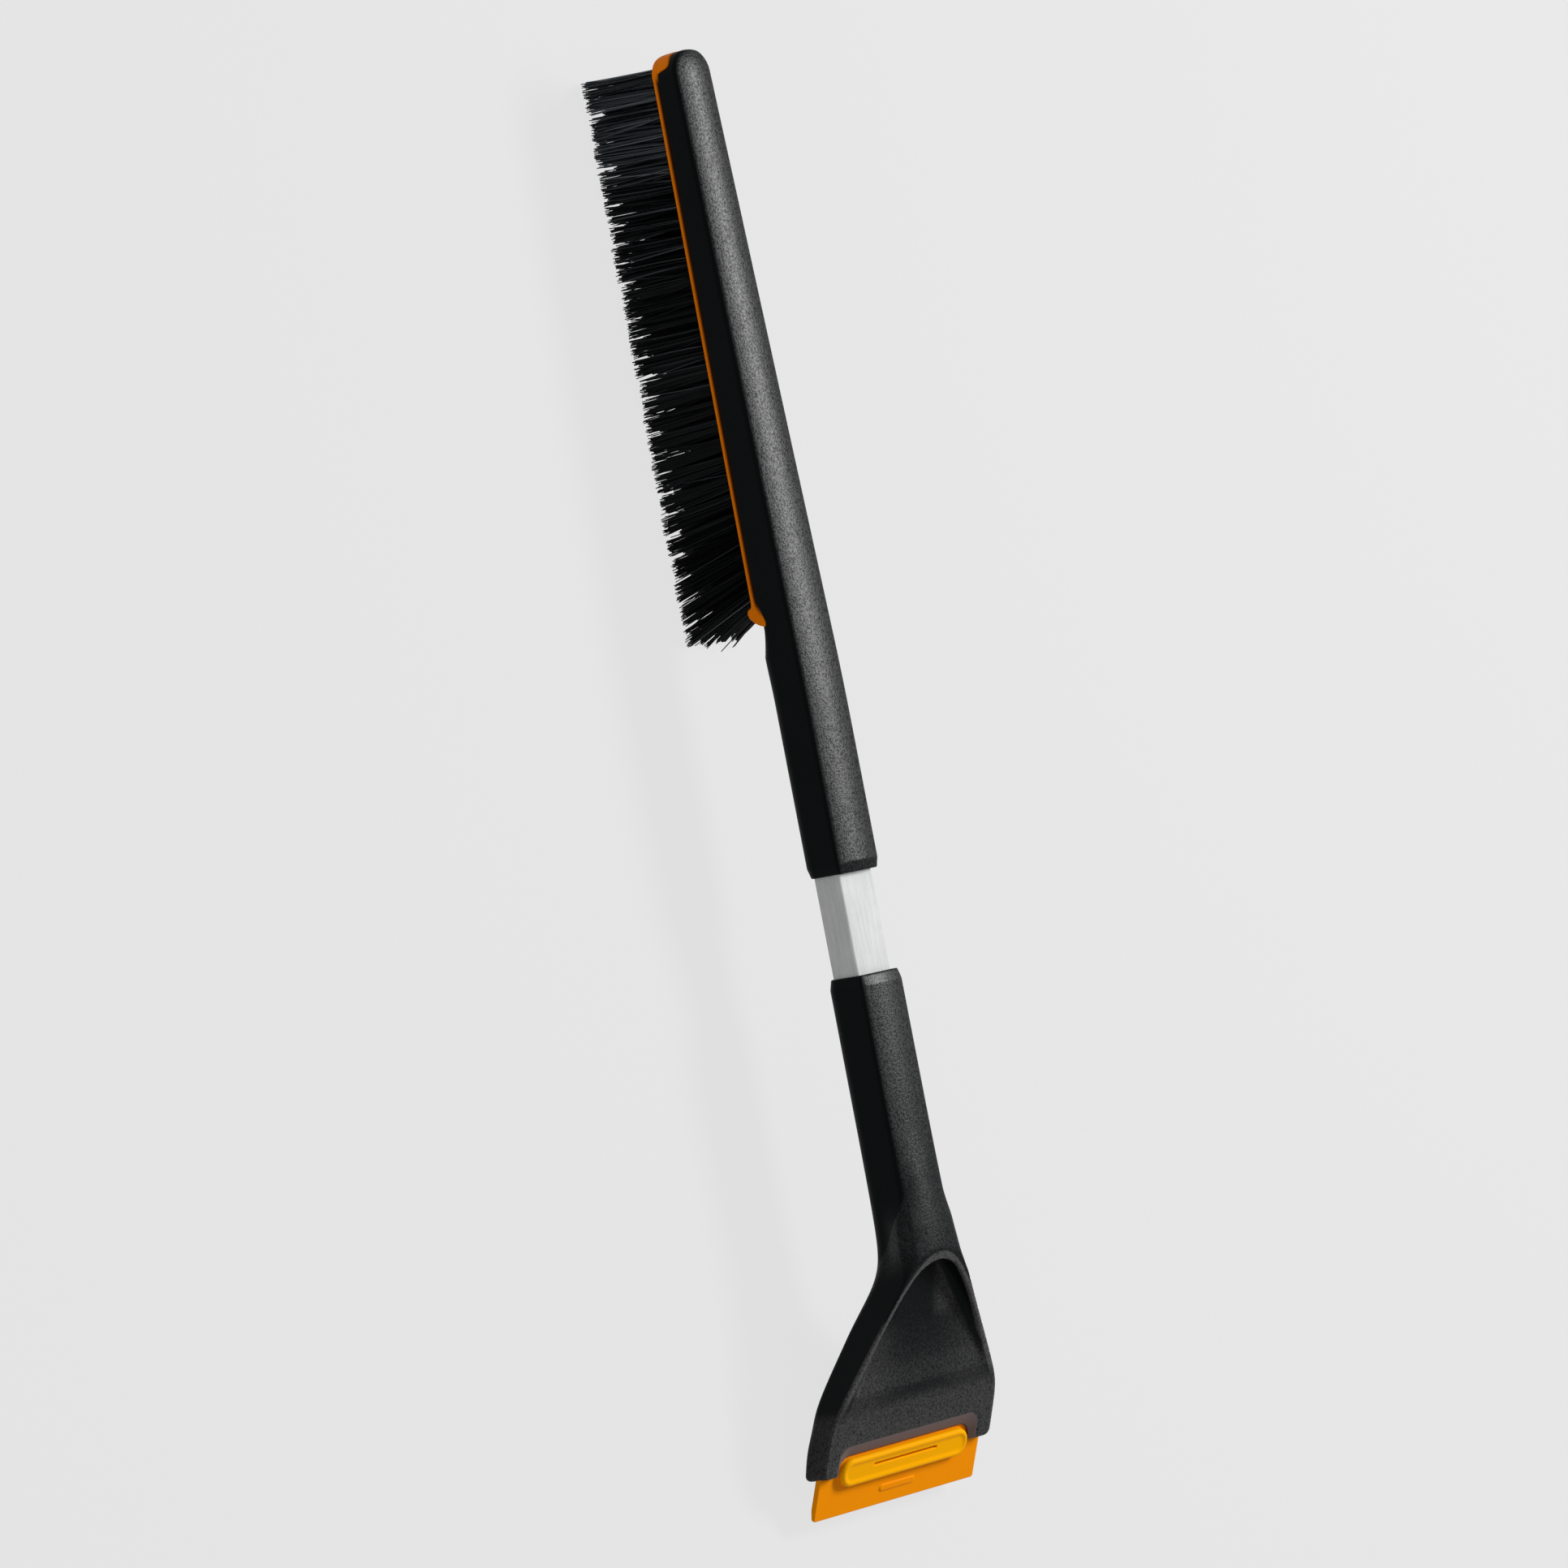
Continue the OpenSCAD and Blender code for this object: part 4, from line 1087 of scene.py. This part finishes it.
class SNOWBRUSH_OT_bristles(Operator):
    """Sets four rows of bristle tufts into the bar"""

    bl_idname = "snow_brush.bristles"
    bl_label = "Bristles"

    def execute(self, context):
        bristles = settings().bristles
        tree, inputs = bristle_tree(bristle_fibre(bristles))
        middle = (ROWS - 1) / 2
        for row in range(ROWS):
            first = FIRST_TUFT[row % 2]
            values = {"Tufts": bristles.tufts, "Strands": bristles.strands,
                      "Seed": bristles.seed + SEEDS_A_ROW * row, "Start": (NOSE_X - first) / 1000,
                      "Run": (LAST_TUFT - first) / 1000, "Row": (row - middle) * ROW_PITCH / 1000,
                      "Row at tips": (row - middle) / middle * ROW_SPREAD / 1000,
                      "Level": (GRIP_TOP_Z + CARRIER_LOW + ROOT_DEPTH) / 1000,
                      "Length at nose": LENGTH_AT_NOSE / 1000, "Length at grip": LENGTH_AT_GRIP / 1000,
                      "Root radius": bristles.tuft_radius, "Tip radius": bristles.fan,
                      "Thickness": bristles.thickness, "Ragged": bristles.ragged}
            piece = grown_mesh(f"bristle_tufts_{row + 1}", tree, {inputs[n]: v for n, v in values.items()})
            if not piece.data.polygons:
                raise RuntimeError("the bristles' tree made no strands")
            dress(piece, "bristle", "tool", f"bristle_row_{row + 1}")
        return {"FINISHED"}


class SNOWBRUSH_OT_tube(Operator):
    """Draws the bare tube and finishes the screws and tuft anchors"""

    bl_idname = "snow_brush.tube"
    bl_label = "Tube and Screws"

    def execute(self, context):
        tube = settings().tube
        corner = np.linspace(0, math.pi / 2, 9)
        y0, z0 = TUBE_W / 2 - TUBE_R, TUBE_H / 2 - TUBE_R
        rings = []
        for d, r in ((TUBE_FROM, TUBE_R - TUBE_WALL), (TUBE_FROM, TUBE_R), (BODY_LEN - 1, TUBE_R),
                     (HANDLE_AT + 1, TUBE_R), (TUBE_TO, TUBE_R), (TUBE_TO, TUBE_R - TUBE_WALL)):
            for quarter, (side_y, side_z) in enumerate(((1, 1), (-1, 1), (-1, -1), (1, -1))):
                rings += [(-d, side_y * y0 + r * math.cos(a), TUBE_MID + side_z * z0 + r * math.sin(a))
                          for a in corner + quarter * math.pi / 2]
        count = 4 * len(corner)
        rows = len(rings) // count
        faces = [(i * count + j, i * count + (j + 1) % count, (i + 1) % rows * count + (j + 1) % count,
                  (i + 1) % rows * count + j) for i in range(rows) for j in range(count)]
        add_piece("bare_tube", to_frame(np.array(rings)), np.array(faces)[:, ::-1], drawn_aluminium(tube),
                  "tube", "tool", "shaft_tube")
        steel = plated_steel(tube)
        for node in ("upper_screw", "lower_screw", "tuft_anchors"):
            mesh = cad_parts[node].data
            mesh.materials.clear()
            mesh.materials.append(steel)
        return {"FINISHED"}


class SNOWBRUSH_OT_handle(Operator):
    """Moulds the lower grip with the scraper's head and scoop"""

    bl_idname = "snow_brush.handle"
    bl_label = "Scraper Handle"

    def execute(self, context):
        body, scraper = settings().body, settings().scraper
        step = scraper.step * 1000
        ss = graded(*GRIP_GRID, (*HEAD_SPAN, step))
        ys, zs = section(half=54.4, low=-58, high=4.8, step=step)
        field = handle_field(body.crown * 1000, body.edge_radius * 1000, scraper.rim_radius * 1000)
        points, faces = surface(field, -(HANDLE_AT + ss)[::-1], ys, zs)
        material = textured_plastic("textured_head", body)
        piece = add_piece("scraper_head", to_frame(points), faces, material, "black_plastic", "tool",
                          "scraper_handle")
        # Painted light on the head, and painted sheen and shade through the share of the paler copy
        rim = rim_of_scoop(points)
        note(piece, "texture_and_sheen", texture_of_handle(points, facing_up(piece), rim))
        note(piece, "rim", rim)
        return {"FINISHED"}


class SNOWBRUSH_OT_blade(Operator):
    """Moulds the orange blade with its catch"""

    bl_idname = "snow_brush.blade"
    bl_label = "Scraper Blade"

    def execute(self, context):
        scraper = settings().scraper
        ys, heights = section(half=51.6, low=-3.9, high=4.4, step=0.43, step_up=0.3)
        points, faces = surface(blade_field, graded(BLADE_GRID), ys, heights)
        c, s = math.cos(HEAD_ANGLE), math.sin(HEAD_ANGLE)
        turned = np.stack([points[:, 0] * c - points[:, 2] * s - EDGE_AT, points[:, 1],
                           points[:, 0] * s + points[:, 2] * c - EDGE_DROP], 1)
        # Painted light: the raised catch gets the paler catch colour
        material = orange_plastic("orange_blade", scraper.blade_colour, roughness=0.42,
                                  painted_shading_colour=scraper.catch_light_colour)
        piece = add_piece("scraper_blade_plate", to_frame(turned), faces, material, "orange_plastic", "blade",
                          "scraper_blade")
        # Painted light on the raised catch, by height above the blade's top face
        note(piece, "painted_shading", rise(points[:, 2], 0.8, 2.0))
        return {"FINISHED"}


# Stage


def lamp(name, place, target, size, power):
    light = bpy.data.lights.new(name, "AREA")
    light.shape = "RECTANGLE"
    light.size, light.size_y = size
    light.energy = power
    holder = bpy.data.objects.new(name, light)
    holder.location = place
    holder.rotation_euler = (Vector(target) - Vector(place)).to_track_quat("-Z", "Y").to_euler()
    bpy.context.scene.collection.objects.link(holder)

def seen_background(graph):
    """1 for rays from the camera and for those seen in a reflection or through glass."""
    rays = graph.tree.nodes.new("ShaderNodeLightPath")
    found = Wire(graph, rays.outputs["Is Camera Ray"])
    for kind in ("Is Glossy Ray", "Is Transmission Ray"):
        found = found + Wire(graph, rays.outputs[kind])
    return found.clamped()


class SNOWBRUSH_OT_stage(Operator):
    """Sets the floor, the lamps and the camera"""

    bl_idname = "snow_brush.stage"
    bl_label = "Stage"

    def execute(self, context):
        stage = settings().stage
        scene = bpy.context.scene
        scene.view_settings.view_transform = "Standard"
        target = Vector((-0.00227, 0.0254, 0.0533))
        toward = Vector((0, math.sqrt(0.5), math.sqrt(0.5)))
        distance = 3.2
        turn = Matrix(((-0.18903, 0.98197, 0), (-0.69436, -0.13366, toward.y), (0.69436, 0.13366, toward.z)))
        camera = bpy.data.objects.new("camera", bpy.data.cameras.new("camera"))
        camera.data.lens = 170.36
        camera.data.sensor_width = 36
        camera.data.clip_end = 50
        camera.matrix_world = Matrix.Translation(target + toward * distance) @ turn.to_4x4()
        scene.collection.objects.link(camera)
        scene.camera = camera

        half, level = 12, -0.0004
        mesh = bpy.data.meshes.new("floor")
        mesh.from_pydata([(x * half, y * half, level) for x, y in ((-1, -1), (1, -1), (1, 1), (-1, 1))], [],
                         [(0, 1, 2, 3)])
        floor = bpy.data.objects.new("floor", mesh)
        scene.collection.objects.link(floor)
        material, graph = new_material("pale_floor")
        matte = graph.add("ShaderNodeBsdfDiffuse", {"Color": rgba(stage.background, gain=0.07)})
        glow = graph.add("ShaderNodeEmission", {"Color": rgba(stage.background), "Strength": 0.92})
        plain = graph.add("ShaderNodeBsdfDiffuse", {"Color": rgba(stage.background, gain=0.7)})
        both = graph.add("ShaderNodeAddShader", {0: matte, 1: glow})
        graph.show(graph.add("ShaderNodeMixShader", {0: seen_background(graph), 1: plain, 2: both}))
        mesh.materials.append(material)

        world = bpy.data.worlds.new("studio")
        world.use_nodes = True
        world.node_tree.nodes.clear()
        graph = Graph(world.node_tree)
        dim = graph.add("ShaderNodeBackground", {"Color": (1, 1, 1, 1), "Strength": 0.32})
        pale = graph.add("ShaderNodeBackground", {"Color": rgba(stage.background), "Strength": 1.0})
        chosen = graph.add("ShaderNodeMixShader", {0: seen_background(graph), 1: dim, 2: pale})
        graph.add("ShaderNodeOutputWorld", {"Surface": chosen})
        scene.world = world

        lamp("key", place=(0.42, -1.2, 1.59), target=(0.08, 0, 0.05), size=(0.8, 0.4), power=stage.key_power)
        lamp("fill", place=(-0.8, 1.9, 1.6), target=(-0.1, 0, 0.05), size=(1.0, 1.0), power=stage.fill_power)
        return {"FINISHED"}


class SnowBrushSettings(PropertyGroup):
    """All settings of the snow brush."""

    body: PointerProperty(type=BrushBodySettings)
    carrier: PointerProperty(type=CarrierSettings)
    bristles: PointerProperty(type=BristleSettings)
    tube: PointerProperty(type=TubeSettings)
    scraper: PointerProperty(type=ScraperSettings)
    stage: PointerProperty(type=StageSettings)


OPERATORS = (SNOWBRUSH_OT_stage, SNOWBRUSH_OT_body, SNOWBRUSH_OT_carrier, SNOWBRUSH_OT_bristles,
             SNOWBRUSH_OT_tube, SNOWBRUSH_OT_handle, SNOWBRUSH_OT_blade)


class SNOWBRUSH_PT_panel(Panel):
    """Lists the settings and the steps"""

    bl_idname = "SNOWBRUSH_PT_panel"
    bl_label = "Snow Brush"
    bl_space_type = "VIEW_3D"
    bl_region_type = "UI"
    bl_category = "Snow Brush"

    def draw(self, context):
        layout = self.layout
        for part in SnowBrushSettings.__annotations__:
            box = layout.box()
            box.label(text=part.capitalize())
            group = getattr(context.scene.snow_brush, part)
            for name in group.__annotations__:
                box.prop(group, name)
        for operator in OPERATORS:
            layout.operator(operator.bl_idname)


CLASSES = (BrushBodySettings, CarrierSettings, BristleSettings, TubeSettings, ScraperSettings, StageSettings,
           SnowBrushSettings, *OPERATORS, SNOWBRUSH_PT_panel)


def register():
    for cls in CLASSES:
        bpy.utils.register_class(cls)
    bpy.types.Scene.snow_brush = PointerProperty(type=SnowBrushSettings)


def unregister():
    del bpy.types.Scene.snow_brush
    for cls in reversed(CLASSES):
        bpy.utils.unregister_class(cls)


def main():
    register()
    bpy.ops.snow_brush.stage()
    bpy.ops.snow_brush.body()
    bpy.ops.snow_brush.carrier()
    bpy.ops.snow_brush.bristles()
    bpy.ops.snow_brush.tube()
    bpy.ops.snow_brush.handle()
    bpy.ops.snow_brush.blade()


if __name__ == "__main__":
    main()
